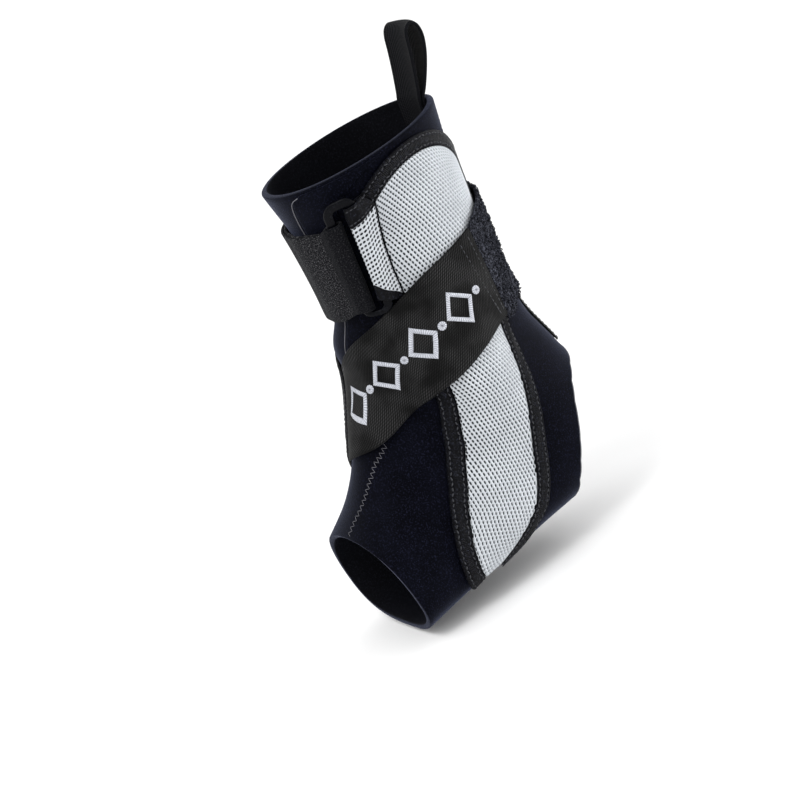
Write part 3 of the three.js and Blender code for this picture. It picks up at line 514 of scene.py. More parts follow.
# %% Strap elastic, mesh yarn, satin and ring plastic
BAR_ALONG = 101.0
new = Finish("strap_brushed")
across, along, flat = new.cloth_mm()
fibre, patch = new.noise(1.5, 4.0, 0.8, flat), new.noise(0.08, 2.0, 0.5, flat)
away_from_bar = new.soft_step((along - BAR_ALONG) * (along - BAR_ALONG), 30.0, 70.0)
flecks = new.soft_step(fibre, 0.5, 0.72) * (0.6 + patch * 0.6) * (0.25 + away_from_bar * 0.75)
color = new.blend(flecks, (0.0022, 0.0024, 0.0036), (0.2, 0.2, 0.21))
strap_brushed = new.surface(color, 0.85, fibre, depth=0.3, strength=0.8, sheen=0.02, tint=(0.9, 0.92, 1),
                            sheen_rough=0.5, specular=0.05)

new = Finish("mesh_yarn")
# The large soft noise is painted light and shade across the mesh. The fine noise is the yarn's twist.
twist, shade = new.noise(1.8, 2.0, 0.6), new.noise(0.06, 1.0)
color = new.blend(twist * 0.6 + shade * 0.4, (0.36, 0.38, 0.41), (0.68, 0.71, 0.74))
mesh_yarn = new.surface(color, 0.6, twist, depth=0.15, strength=0.6, sheen=0.1)

new = Finish("silver_satin")
across, along, flat = new.cloth_mm()
strand = across.stripes(1.15)
color = new.blend(strand * 0.55 + new.noise(0.5, place=flat) * 0.45, (0.13, 0.14, 0.18), (0.7, 0.72, 0.78))
silver_satin = new.surface(color, 0.3 + strand * 0.2, strand, depth=0.2, strength=0.8, sheen=0.2, sheen_rough=0.2,
                           specular=0.7)

new = Finish("ring_plastic")
grain = new.noise(1.2, 3.0)
scuff = new.soft_step(new.noise(0.3, 4.0, 0.7), 0.55, 0.7)
color = new.blend(scuff, (0.0016, 0.0018, 0.003), (0.006, 0.0065, 0.009))
rough = 0.22 + scuff * 0.15 + grain * 0.06
ring_plastic = new.surface(color, rough, grain, depth=0.06, strength=0.5, specular=0.07)
print("finishes:", len(bpy.data.materials))

# %% Lay the floor
FLOOR = cad_box[0].z - 0.002
bpy.ops.mesh.primitive_plane_add(size=12, location=(0, 0, 0))
floor = bpy.context.object
floor.name = "studio_floor"
floor.data.transform(Matrix.Translation((0, 0, FLOOR)))
floor.data.materials.append(floor_paint)
print("floor at", round(FLOOR, 3))

# %% [markdown]
# ## The sleeve
# The real sleeve is foam between two layers of fine knit, cut flat and sewn into a tube that closes at the sole.
# One grid runs from the heel opening's one edge round the front to its other edge. Behind the leg and under the
# sole the two edges meet, so their points are merged there. The foam shows only where it is cut, at the heel.

# %% Where the sleeve's back edge lies
SLEEVE_EDGE = [
    (0, 180), (0.9, 180), (1.9, 180), (2.75, 180), (3.45, 180), (3.8, 180), (4.15, 180), (4.2, 176), (4.3, 170),
    (4.5, 160), (4.8, 153), (5.2, 149), (5.6, 147), (6, 145.5), (6.5, 145), (6.95, 147.5), (7.25, 154),
    (7.45, 164), (7.55, 173), (7.6, 180), (8.2, 180), (9.1, 180), (10, 180),
]
CLOTH, STEADY_TURN, FOLD_DEPTH, CLOSED_TO = 3.0, 132, 0.35, 4.15
edge_station, edge_turn = np.array(SLEEVE_EDGE).T
fine = [np.linspace(a, b, n, endpoint=False) for a, b, n in
        [(0, 4.1, 52), (4.1, 4.6, 16), (4.6, 7.0, 34), (7.0, 7.7, 22), (7.7, 10, 26)]]
rows = np.concatenate([*fine, [10.0]])
back_edge = np.interp(rows, edge_station, edge_turn)
back_edge[rows <= CLOSED_TO] = 180
print("rows of points:", len(rows))

# %% Make the sleeve
# Station and turn of each fold's middle, its half length and half width, its lean and its height.
FOLDS = [
    (4.9, 22, 30, 0.16, 0.006, 0.9), (5.5, 30, 30, 0.2, 0.008, -0.7), (6.3, 34, 26, 0.25, 0.01, 0.6),
    (5.2, -30, 30, 0.18, 0.006, 0.8), (6.0, -36, 30, 0.2, 0.01, -0.6), (4.4, 140, 18, 0.16, -0.01, 0.7),
    (3.3, 150, 20, 0.14, 0.0, -0.6), (3.0, 165, 22, 0.12, 0.0, 0.5), (8.6, 60, 30, 0.3, 0.012, -0.6),
    (0.5, 110, 40, 0.12, 0.0, -0.4), (8.9, 30, 26, 0.25, -0.01, 0.5), (4.4, -140, 18, 0.16, 0.01, 0.7),
]


def folds(stations, turns):
    """Shallow folds where the cloth bends in front of the ankle and pulls over the heel, in millimetres."""
    lift = np.zeros(stations.shape)
    for at, middle, long_way, short_way, lean, height in FOLDS:
        slant = (stations - at - lean * (turns - middle)) / short_way
        lift += height * np.exp(-0.5 * (slant**2 + ((turns - middle) / long_way) ** 2))
    return lift * FOLD_DEPTH


steady = np.repeat(np.linspace(0, STEADY_TURN, 62)[None], len(rows), axis=0)
last = STEADY_TURN + (back_edge[:, None] - STEADY_TURN) * np.linspace(0, 1, 19)[1:]
half = np.hstack([steady, last])
turns = np.hstack([-half[:, :0:-1], half])
stations = np.repeat(rows[:, None], turns.shape[1], axis=1)
sleeve = grid_piece("sleeve", lay(stations, turns, folds(stations, turns))[:, ::-1])
mend(sleeve, join_mm=0.05)
for finish in (jersey, foam_edge, lining):
    sleeve.data.materials.append(finish)
thicken(sleeve, CLOTH, 1, edge=0.7, angle=50, inner=2, rim=1)
print("sleeve faces:", len(sleeve.data.polygons))

# %% Foam only at the heel opening, lining inside
for face in sleeve.data.polygons:
    if face.material_index == 1 and (face.center.z > 0.09 or face.center.y < -0.03):
        face.material_index = 0
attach(sleeve, "root")
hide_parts("leg_sleeve_medial", "leg_sleeve_lateral", "foot_sleeve_medial", "foot_sleeve_lateral")
print("foam faces:", sum(face.material_index == 1 for face in sleeve.data.polygons))

# %% [markdown]
# ## Tables of the pieces
# Each sewn piece has a table of rows along it. A row gives the station and turn of its near edge and of its far
# edge, and a fifth number bows the row up. The same tables drew the CAD solids, so the cloth lies where its solid is.

# %% Tables
INNER_PANEL = [
    (0.55, 69.5, 0.8, 149, 0.36), (0.8, 66.5, 0.97, 152, 0.2), (1.1, 63.5, 1.2, 152, 0.05), (1.5, 61, 1.5, 148, 0),
    (2, 60, 2, 140, 0), (2.6, 61, 2.55, 128, 0), (3.3, 65, 3.1, 117, 0), (4, 68, 3.75, 116, 0),
    (4.6, 67.5, 4.45, 117, 0), (5.35, 63, 5.15, 116, 0), (5.9, 59.5, 5.65, 113.5, 0), (6.4, 57, 6.15, 111.5, 0),
    (6.95, 57.5, 6.6, 111.5, 0), (7.45, 61.5, 7, 113, 0), (7.8, 66, 7.35, 115.5, 0), (8.1, 72, 7.7, 119, 0),
    (8.37, 79, 7.94, 120, 0), (8.6, 86, 8.15, 121, 0), (8.83, 94.5, 8.36, 121.6, 0), (9, 103, 8.55, 122.2, 0),
    (9.1, 111, 8.71, 122.6, 0), (9.12, 118.5, 8.85, 123, 0),
]
OUTER_PANEL = [
    (0.62, 72, 0.85, 140, 0.3), (0.9, 68, 1.05, 144, 0.14), (1.25, 65, 1.35, 145, 0.03), (1.65, 61.5, 1.67, 142, 0),
    (2, 59, 2, 138, 0), (2.35, 56, 2.33, 133, 0), (2.7, 51.5, 2.65, 128, 0), (3.1, 44.5, 3.02, 124, 0),
    (3.5, 35, 3.4, 120, 0), (3.95, 25, 3.83, 118.5, 0), (4.4, 18, 4.27, 118, 0), (4.9, 15, 4.72, 117.5, 0),
    (5.4, 16, 5.16, 116, 0), (5.9, 18.5, 5.61, 113.5, 0), (6.4, 22.5, 6.05, 112, 0), (6.85, 29, 6.48, 112, 0),
    (7.3, 38, 6.9, 113, 0), (7.65, 48, 7.25, 115.5, 0), (8, 59, 7.6, 118, 0), (8.3, 70, 7.87, 119.5, 0),
    (8.6, 82, 8.13, 120.6, 0), (8.85, 93, 8.36, 121.4, 0), (9.02, 103, 8.56, 122, 0), (9.1, 111, 8.72, 122.4, 0),
    (9.12, 118, 8.85, 122.8, 0),
]
FLAP = [
    (0.04, 30, 0.04, 86), (0.12, 22, 0.18, 64), (0.4, 17, 0.42, 46), (0.8, 14, 0.8, 44), (1.5, 11, 1.5, 42),
    (2.3, 8, 2.3, 43), (3.1, 6, 3.1, 45),
]
WEBBING = [
    (3.25, -3, 6.75, -3), (3.15, 0, 6.15, 11), (3.02, 4, 5.35, 25), (2.75, 14, 4.65, 40), (2.38, 32, 4.2, 57),
    (2.05, 50, 3.85, 75), (1.8, 71, 3.42, 94), (1.66, 93, 3.1, 110), (1.54, 119.5, 2.95, 123.5),
]
PILE = [
    (1.53, 120.2, 3.04, 124.5), (1.42, 135, 2.97, 139), (1.36, 151, 2.88, 154), (1.27, 170, 2.78, 172),
    (1.14, 192, 2.65, 192), (0.9, 220, 2.44, 220), (0.68, 252, 2.24, 252), (0.6, 284.5, 2.18, 284.5),
]
print("tables:", len(INNER_PANEL), len(OUTER_PANEL), len(FLAP), len(WEBBING), len(PILE))

# %% Thicknesses and seats
GAP, FACET = 0.35, 0.2
SEAT = CLOTH + 0.45 + FACET
PANEL_EDGE, PANEL_THICK = 1.8, 2.7
PANEL_STEP = PANEL_THICK + GAP + FACET
BINDING_THICK, BINDING_START, BINDING_WALL = 2.0, 0.15, 0.7
FLAP_THICK, WEBBING_THICK, PILE_THICK = 1.3, 1.5, 2.0
STRAP_THICK, TAB_THICK, TAPE_THICK = 1.2, 1.0, 1.2
FADE, BINDING_TURN = 14, 12


def ease(t):
    t = np.clip(t, 0, 1)
    return t * t * (3 - 2 * t)


def mix(a, b, t):
    return a + (b - a) * t


def spot(table, along, across, side):
    """The station and turn of a place on a piece: along its rows, and across from its near to its far edge."""
    row = between(table, np.asarray(along, float))
    bow = row[..., 4] * 4 * across * (1 - across) if row.shape[-1] == 5 else 0
    return mix(row[..., 0], row[..., 2], across) - bow, side * mix(row[..., 1], row[..., 3], across)


def edge_turn_at(table, far, station):
    table = np.array(table)
    return np.interp(station, table[:, 2 if far else 0], table[:, 3 if far else 1])


def side_cover(table, side, station, turn):
    """How much a panel lifts what lies over it at a place, from 0 to 1."""
    own = turn % 360 if side > 0 else 360 - turn % 360
    near, far = edge_turn_at(table, False, station), edge_turn_at(table, True, station)
    return ease((own - (near - BINDING_TURN - FADE)) / FADE) * ease((far + BINDING_TURN + FADE - own) / FADE)


def strap_seat(table, side, station, turn):
    """The seat of a strap that lies over one panel and the flap."""
    flap_rise = (FLAP_THICK + GAP) * ease((turn + 6) / FADE)
    return SEAT + np.maximum(PANEL_STEP * side_cover(table, side, station, turn), flap_rise)


print("seat height", SEAT)

# %% [markdown]
# ## Cloth that knows its own flat shape
# A mesh fabric or a woven strap keeps its thread spacing, however it curves. So each piece gets a flat map: how far
# along it and how far from its middle line a point is, in millimetres, and back again to a point on the brace.

# %% Flat map of a piece


class FlatCloth:
    def __init__(self, table, side, lift):
        self.table, self.side, self.lift = table, side, lift
        self.last = len(table) - 1
        self.measure(np.linspace(0, self.last, 60 * self.last + 1))

    def measure(self, along):
        """The run along the middle line and the width across, at many places along the piece."""
        self.along = along
        grid = self.point(along[:, None], np.linspace(0, 1, 25))
        self.run, self.wide = lengths(grid, 0)[:, 12], lengths(grid, 1)[:, -1]
        self.length = self.run[-1]

    def point(self, along, across, extra=0.0):
        along, across = np.broadcast_arrays(along, across)
        station, turn = spot(self.table, along, across, self.side)
        return lay(station, turn, self.lift(station, turn, along, across) + extra)

    def width(self, s):
        return np.interp(s, self.run, self.wide)

    def place(self, s, t, extra=0.0):
        """The point s along the piece and t from its middle line, kept inside its outline."""
        along, across = np.interp(s, self.run, self.along), np.clip(0.5 + t / self.width(s), 0, 1)
        return self.point(along, across, extra)

    def size(self):
        """The flat cloth's mean width and its length, in metres."""
        return float(self.wide.mean()) / 1000, float(self.length) / 1000


def dome_lift(last, sink):
    """The lift of a padded panel, thinner at its edge, with its face sunk by some millimetres."""
    def lift(station, turn, along, across):
        edge = np.minimum(np.minimum(across, 1 - across), np.minimum(along, last - along) / last)
        return SEAT + mix(PANEL_EDGE, PANEL_THICK, ease(4 * edge)) - sink
    return lift


print("flat map ready")

# %% [markdown]
# ## Spacer mesh
# The pale panels are spacer mesh: an open face of yarn over a springy core, so light falls through small holes on
# to the core's yarn below. Its flecks are the core's threads, and its dark colour is painted shade in the holes. One
# hexagonal cell of the face is modelled by inset, its hole is drawn out into a slanted slot and extruded down. The
# cell is then repeated over the whole panel on the flat map, inside the outline.

# %% Model one cell of the mesh face
PITCH_ACROSS, PITCH_ALONG, OVERHANG = 1.95, 1.8, 0.25
YARN, SLOT_WIDE, SLOT_LONG, HOLE_DEEP = 0.2, 0.56, 1.12, 0.8

def mesh_cell(slant):
    """Points and faces of one cell: a hexagon of yarn round a slot that leans by slant degrees."""
    bpy.ops.object.select_all(action="DESELECT")
    bpy.ops.mesh.primitive_circle_add(vertices=6, radius=1, fill_type="NGON", location=(0, 0, 0))
    bpy.ops.object.mode_set(mode="EDIT")
    bpy.ops.mesh.select_all(action="SELECT")
    bpy.ops.mesh.inset(thickness=YARN, depth=-YARN)
    bpy.ops.transform.resize(value=(SLOT_WIDE, SLOT_LONG, 1), center_override=(0, 0, 0))
    bpy.ops.transform.rotate(value=math.radians(slant), orient_axis="Z", center_override=(0, 0, 0))
    bpy.ops.mesh.extrude_region_move(TRANSFORM_OT_translate={"value": (0, 0, -HOLE_DEEP)})
    bpy.ops.transform.resize(value=(0.85, 0.9, 1), center_override=(0, 0, 0))
    bpy.ops.mesh.delete(type="ONLY_FACE")
    bpy.ops.object.mode_set(mode="OBJECT")
    return as_points(bpy.context.object)


# %% Repeat the cell over a panel
CORE_SINK, CORE_THICK, PANEL_SLANT, TAB_SLANT = 1.75, 0.95, 27, -50


def mesh_face(name, cloth, slant):
    """The open yarn face of a piece of spacer mesh, in offset rows of cells."""
    cell_points, cell_faces = mesh_cell(slant)
    p, q = PITCH_ACROSS, PITCH_ALONG
    half = cloth.wide.max() / 2 + p
    s, t = np.meshgrid(np.arange(-q, cloth.length + q, q), np.arange(-half, half, p), indexing="ij")
    t = t + (np.arange(len(t)) % 2)[:, None] * p / 2
    inside = (s > -OVERHANG) & (s < cloth.length + OVERHANG) & (np.abs(t) < cloth.width(s) / 2 + OVERHANG)
    all_t = t[inside][:, None] + cell_points[:, 0] * p / math.sqrt(3)
    all_s = s[inside][:, None] + cell_points[:, 1] * q * 2 / 3
    shapes = cloth.place(np.clip(all_s, 0, cloth.length), all_t, cell_points[:, 2])
    piece = copies(name, shapes, cell_faces, mesh_yarn)
    mend(piece, join_mm=0.06)
    print(name, "cells", len(shapes), "faces", len(piece.data.polygons), "looked out", face_outward(piece))
    return piece


def bridged(points, out, share):
    """Stiff webbing doesn't sink into a hollow: each line across it is lifted towards the straight line."""
    x = np.linspace(0, 1, points.shape[1])[None, :, None]
    rise = ((mix(points[:, :1], points[:, -1:], x) - points) * out).sum(-1, keepdims=True)
    return points + out * np.maximum(rise, 0) * share


def cloth_grid(name, cloth, columns, steps, flip=False, stiff=0.0):
    a, x = np.meshgrid(np.linspace(0, cloth.last, steps), np.linspace(0, 1, columns), indexing="ij")
    points = bridged(cloth.point(a, x), outward(*spot(cloth.table, a, x, cloth.side)), stiff)
    uv = np.stack([(x - 0.5) * np.interp(a, cloth.along, cloth.wide), np.interp(a, cloth.along, cloth.run)], axis=-1)
    return grid_piece(name, points[:, ::-1], uv[:, ::-1]) if flip else grid_piece(name, points, uv)


for label, table, side, node in [("inner_panel", INNER_PANEL, 1, "medial_mesh_panel"),
                                 ("outer_panel", OUTER_PANEL, -1, "lateral_mesh_panel")]:
    last = len(table) - 1
    core = cloth_grid(label + "_core", FlatCloth(table, side, dome_lift(last, CORE_SINK)), 41, 221, flip=side > 0)
    thicken(core, CORE_THICK, 1, even=True)
    place_in_part(core, mesh_spacer)
    face = mesh_face(label + "_mesh", FlatCloth(table, side, dome_lift(last, 0.0)), PANEL_SLANT)
    place_in_part(face, node=node)

# %% [markdown]
# ## Straps
# The instep strap is a firm twill webbing. Where it comes round the back of the leg it carries loop pile, which the
# other strap grips. Each is a grid on its flat map with the thickness of its solid.

# %% Flap and straps
CURL_ROOM, STIFF, TAPE_TURN = 0.7, 0.5, 22


def flap_lift(station, turn, along, across):
    return SEAT


def webbing_lift(station, turn, along, across):
    return strap_seat(INNER_PANEL, 1, station, turn)


def pile_lift(station, turn, along, across):
    """The pile band lies over both panels and over the tape of the back seam."""
    panels = np.maximum(side_cover(INNER_PANEL, 1, station, turn), side_cover(OUTER_PANEL, -1, station, turn))
    tape_rise = (TAPE_THICK + GAP) * ease((TAPE_TURN - np.abs(turn % 360 - 180)) / 12)
    return SEAT + np.maximum(PANEL_STEP * panels, tape_rise)


flap_cloth, webbing_cloth, pile_base = (
    FlatCloth(table, 1, lift) for table, lift in ((FLAP, flap_lift), (WEBBING, webbing_lift), (PILE, pile_lift)))
for name, cloth, columns, steps, thick, stiff, finish, node, slot_name in [
    ("flap", flap_cloth, 25, 81, FLAP_THICK, 0, jersey, "front_flap", "sleeve"),
    ("instep_webbing", webbing_cloth, 49, 181, WEBBING_THICK, STIFF, webbing_twill, "strap_webbing", "webbing"),
    ("pile_band", pile_base, 45, 161, PILE_THICK - CURL_ROOM, STIFF, pile_cloth, "strap_pile", "pile"),
]:
    piece = cloth_grid(name, cloth, columns, steps, stiff=stiff)
    thicken(piece, thick, 1, edge=0.4, angle=50, even=True)
    place_in_part(piece, finish, node)
    cloth.size()
    print(name, "is", [round(1000 * size, 1) for size in cloth.size()], "mm")

# %% [markdown]
# ## Bound edges
# Each panel is framed by a folded binding, sewn down with two rows of stitches. Between the rows it swells a
# little, and under each row it is pulled in, so a binding is a grid with that profile, laid beside the panel's edge.

# %% Paths beside an edge
EDGE_LIFT = 4.65


def moved(station, turn, move):
    """The station and turn after a move in space, in millimetres, along the surface."""
    here = np.clip(station, 0.03, 9.97)
    down = (lay(here + 0.03, turn, EDGE_LIFT) - lay(here - 0.03, turn, EDGE_LIFT)) / 0.06
    around = (lay(here, turn + 1, EDGE_LIFT) - lay(here, turn - 1, EDGE_LIFT)) / 2
    dd, dr, rr = (down * down).sum(-1), (down * around).sum(-1), (around * around).sum(-1)
    md, mr = (move * down).sum(-1), (move * around).sum(-1)
    det = dd * rr - dr * dr
    return station + (md * rr - mr * dr) / det, turn + (mr * dd - md * dr) / det


def beside(station, turn, hand, distance):
    """A path beside a path: hand is 1 or -1, distance is in millimetres."""
    run = unit(np.gradient(lay(station, turn, EDGE_LIFT), axis=0))
    return moved(station, turn, np.cross(outward(station, turn), run) * hand * distance)


def even_path(station, turn, step):
    """The same path with points an even step apart, in millimetres."""
    run = line_run(lay(station, turn, EDGE_LIFT))
    at = np.linspace(0, run[-1], max(int(run[-1] / step), 2) + 1)
    return np.interp(at, run, station), np.interp(at, run, turn), at


def panel_edge(table, side, far, first=0.0):
    return spot(table, np.linspace(first, len(table) - 1, 400), 1.0 if far else 0.0, side)


def panel_outline(table, side):
    """The top edge from front to back, then the back edge down to the sole."""
    across = np.linspace(0, 1, 120)[:-1]
    return np.concatenate([spot(table, 0 * across, across, side), panel_edge(table, side, far=True)], axis=1)


print("inner outline", len(panel_outline(INNER_PANEL, 1)[0]))

# %% Make the bindings
BINDINGS = [
    ("inner_back_binding", panel_outline(INNER_PANEL, 1), 1, "medial_back_binding", 7.0),
    ("inner_front_binding", panel_edge(INNER_PANEL, 1, far=False, first=5), -1, "medial_front_binding", 8.0),
    ("outer_back_binding", panel_outline(OUTER_PANEL, -1), -1, "lateral_back_binding", 7.0),
    ("outer_front_binding", panel_edge(OUTER_PANEL, -1, far=False), 1, "lateral_front_binding", 8.0),
]
STITCH_ROWS, STITCH_STEP = (0.2, 0.8), 2.3


def binding_height(share, run):
    """Height of a binding from its one edge, 0, to its other, 1, with puckers between the stitches."""
    roll = ease(share / 0.1) * ease((1 - share) / 0.1)
    pulled = sum(np.exp(-(((share - row) / 0.06) ** 2)) for row in STITCH_ROWS)
    pucker = 0.1 * np.sin(2 * np.pi * run / 2.8) * (0.3 + pulled) + 0.12 * np.sin(run / 3.1 + 7 * share)
    return BINDING_WALL + (BINDING_THICK - BINDING_WALL) * roll * (1 - 0.4 * pulled) + pucker * roll


for name, path, hand, node, wide in BINDINGS:
    station, turn, run = even_path(*path, 0.7)
    points, uv = [], []
    for x in np.linspace(0, 1, 17):
        here = beside(station, turn, hand, BINDING_START + wide * x)
        points.append(lay(*here, SEAT + binding_height(x, run)))
        uv.append(np.stack(np.broadcast_arrays(wide * x, run), axis=-1))
    piece = grid_piece(name, np.stack(points, axis=1), np.stack(uv, axis=1))
    face_outward(piece)
    thicken(piece, BINDING_WALL, -1)
    place_in_part(piece, binding_cloth, node)
    print(name, "runs", round(float(run[-1])), "mm")

# %% [markdown]
# ## Stitches
# A stitch is a short thread that dips into the cloth at both ends. One is modelled from a sphere, stretched and
# bent, and copied along each seam, in line with it or leaning to and fro in a zigzag.

# %% Model one stitch
bpy.ops.object.select_all(action="DESELECT")
bpy.ops.mesh.primitive_uv_sphere_add(segments=6, ring_count=5, radius=0.5, location=(0, 0, 0))
bpy.ops.object.mode_set(mode="EDIT")
bpy.ops.mesh.select_all(action="SELECT")
bpy.ops.transform.rotate(value=math.pi / 2, orient_axis="Y", center_override=(0, 0, 0))
bpy.ops.object.mode_set(mode="OBJECT")
stitch_points, stitch_faces = as_points(bpy.context.object)
print("stitch:", len(stitch_points), "points")

# %% Sew along a path


def sew(name, rows_of_thread, finish, length, thick, sink):
    """Each row is (points, way of each stitch, way out of the cloth). All rows become one piece."""
    thread = stitch_points * (length, thick, thick)
    thread[:, 2] -= sink * (2 * stitch_points[:, 0]) ** 2
    shapes = []
    for point, way, out in rows_of_thread:
        axes = np.stack([unit(way), unit(np.cross(out, unit(way))), out], axis=1)
        shapes.append(point[:, None] + thread @ axes)
    shapes = np.concatenate(shapes)
    piece = copies(name, shapes, stitch_faces, finish)
    mend(piece, consistent=True)
    place_in_part(piece)
    print(name, "has", len(shapes), "stitches")


def row_on(station, turn, step, lift, ahead=1.0, lean=0.0):
    """An even row of stitches on a path. Each runs ahead and leans aside, to and fro, by its two shares."""
    station, turn, run = even_path(station, turn, step)
    point, out = lay(station, turn, lift), outward(station, turn)
    way = unit(np.gradient(point, axis=0))
    swing = np.where(np.arange(len(turn)) % 2 == 0, lean, -lean)[:, None]
    return point, way * ahead + np.cross(out, way) * swing, out


binding_rows = []
for name, path, hand, node, wide in BINDINGS:
    station, turn, run = even_path(*path, 0.7)
    for share in STITCH_ROWS:
        here = beside(station, turn, hand, BINDING_START + wide * share)
        binding_rows.append(row_on(*here, STITCH_STEP, SEAT + float(binding_height(share, 0.7)) + 0.12, lean=0.35))
sew("binding_stitches", binding_rows, black_thread, length=1.9, thick=0.62, sink=0.14)

# %% Zigzag seam over the instep
ZIGZAG = [(5.88, 18), (6.4, 14.5), (6.83, 12), (7.35, 11.3), (7.85, 11), (8.8, 12), (9.38, 11.5), (9.85, 12)]
station, turn = between(ZIGZAG, np.linspace(0, len(ZIGZAG) - 1, 300)).T
instep = row_on(station, turn, 1.25, CLOTH + 0.2, ahead=0.5, lean=1.0)
sew("instep_zigzag", [instep], grey_thread, length=2.9, thick=0.28, sink=0.05)

# %% [markdown]
# ## The ring and the strap through it
# The ring is moulded plastic with rounded edges. The strap comes in under its first bar and folds back over it,
# and a tab of mesh holds its second bar. All three use the plane across the ring: along it to the inner side of
# the foot, and up it to the top edge.

# %% The ring's own plane
RING_STATION, RING_TURN, RING_LEAN, STATION_MM, TURN_MM = 1.19, 38, 0.17, 30.5, 0.8
RING_LENGTH, RING_BAR, RING_END_BAR, RING_WINDOW, RING_THICK, RING_CORNER = 57.2, 4.6, 3.8, 7, 2.2, 6
UNDER_RING = FLAP_THICK + GAP + STRAP_THICK + GAP


def ring_spot(along, up_ring):
    """The station and turn of a place in the ring's plane. Its lean fades out along the strap."""
    lean = RING_LEAN * up_ring * np.clip((along + 40) / 40, 0, 1)
    return RING_STATION - up_ring / STATION_MM, RING_TURN + along / TURN_MM + lean


def rounded_frame(along, up_ring, cut):
    """Points round a rectangle with round corners, with as many points however big it is."""
    points = []
    for a, b, start in [(1, 1, 0), (-1, 1, 90), (-1, -1, 180), (1, -1, 270)]:
        for turn in np.radians(np.linspace(start, start + 90, 9)):
            points.append((a * (along - cut) + cut * math.cos(turn), b * (up_ring - cut) + cut * math.sin(turn)))
        if start in (90, 270):
            points += [(a * along, b * mix(up_ring - cut, cut - up_ring, share)) for share in LONG_SIDE]
        else:
            points += [(a * mix(along - cut, cut - along, share), b * up_ring) for share in SHORT_SIDE]
    return np.array(points)


def squared(value):
    """Makes a circle's sine or cosine into that of a rounded square."""
    return np.sign(value) * np.abs(value) ** 0.6


LONG_SIDE, SHORT_SIDE = np.linspace(0, 1, 26)[1:-1], np.linspace(0, 1, 6)[1:-1]
half_length, middle_along = RING_LENGTH / 2, RING_BAR / 2 + RING_WINDOW / 2
outside = rounded_frame(RING_BAR + RING_WINDOW / 2, half_length, RING_CORNER)
inside = rounded_frame(RING_WINDOW / 2, half_length - RING_END_BAR, 2)
ring_rows = []
for angle in np.linspace(0, 2 * np.pi, 17)[:-1]:
    edge_here = mix(outside, inside, 0.5 - 0.5 * squared(np.cos(angle)))
    station, turn = ring_spot(middle_along + edge_here[:, 0], edge_here[:, 1])
    height = (0.5 + 0.5 * squared(np.sin(angle))) * RING_THICK
    ring_rows.append(lay(station, turn, SEAT + UNDER_RING + height))
ring_points = np.stack(ring_rows + ring_rows[:1], axis=1)
ring = grid_piece("ring", np.concatenate([ring_points, ring_points[:1]]))
mend(ring, join_mm=0.01, consistent=True)
place_in_part(ring, ring_plastic, "cinch_ring")
print("ring faces", len(ring.data.polygons))

# %% The strap that folds round the ring's bar
# Along, in ring bars, or as a share of the climb, then height in strap thicknesses, gaps, and ring or pile thicknesses.
BAR_BEND = [
    (0.5, 0.5, 0.5, 0), (0.74, 0.6, 0.8, 0.1), (0.85, 1, 1, 0.5), (0.74, 1.4, 1.5, 0.9), (0.5, 1.5, 2, 1),
    (0, 1.5, 2.3, 1), (-0.57, 1.5, 1.7, 1), (-1, 1.5, 1.5, 0.62), (-1.43, 1.5, 1.5, 0.2), (-2.07, 1.5, 1.5, 0.02),
]
PILE_CLIMB = [
    (0, 1.5, 1.5, 0), (0.21, 1.2, 1.3, 0.3), (0.39, 0.8, 2, 0.9), (0.57, 0.5, 3.6, 1), (0.79, 0.5, 3.4, 1),
    (1, 0.5, 3.4, 1),
]
CLIMB_FROM, CLIMB_LONG, TIP_CORNER = -77, 28, 6


def folded(path, finer):
    """A smooth line through a path's points: its two columns and the run along it."""
    line = between(path, np.linspace(0, len(path) - 1, (len(path) - 1) * finer + 1))
    return *line.T, line_run(line)


under = (RING_TURN - (PILE[-1][1] - 360)) * TURN_MM - 0.6
strap_line = [(-under * (1 - k / 13), STRAP_THICK / 2 + GAP / 2) for k in range(14)]
strap_line += [(b * RING_BAR, s * STRAP_THICK + g * GAP + r * RING_THICK) for b, s, g, r in BAR_BEND]
strap_line += [(mix(-3 * RING_BAR, CLIMB_FROM, k / 9), STRAP_THICK * 1.5 + GAP * 1.5) for k in range(9)]
strap_line += [(CLIMB_FROM - run * CLIMB_LONG, s * STRAP_THICK + g * GAP + p * PILE_THICK)
               for run, s, g, p in PILE_CLIMB]
along, over, run_mm = folded(strap_line, 4)
wide = ease((-along - 2) / 20)
low_side = half_length * mix(-0.843, -1.05, wide)
high_side = half_length * mix(0.594, 0.647, wide) + 2.6 * ease((along + 9) / 6)
tip = np.maximum(TIP_CORNER - (run_mm[-1] - run_mm), 0)
round_corner = TIP_CORNER - np.sqrt(np.maximum(TIP_CORNER**2 - tip**2, 0))
x = np.linspace(0, 1, 31)
across_mm = mix((low_side + round_corner)[:, None], (high_side - round_corner * 0.5)[:, None], x)
station, turn = ring_spot(along[:, None], across_mm)
points = lay(station, turn, strap_seat(OUTER_PANEL, -1, station, turn) + over[:, None])
points = bridged(points, outward(station, turn), 0.75)
uv = np.stack(np.broadcast_arrays(across_mm, run_mm[:, None]), axis=-1)
strap = grid_piece("upper_strap", points, uv)
thicken(strap, STRAP_THICK, edge=0.4)
place_in_part(strap, strap_brushed, "strap_end")
print("strap is", round(float(run_mm[-1])), "mm long")

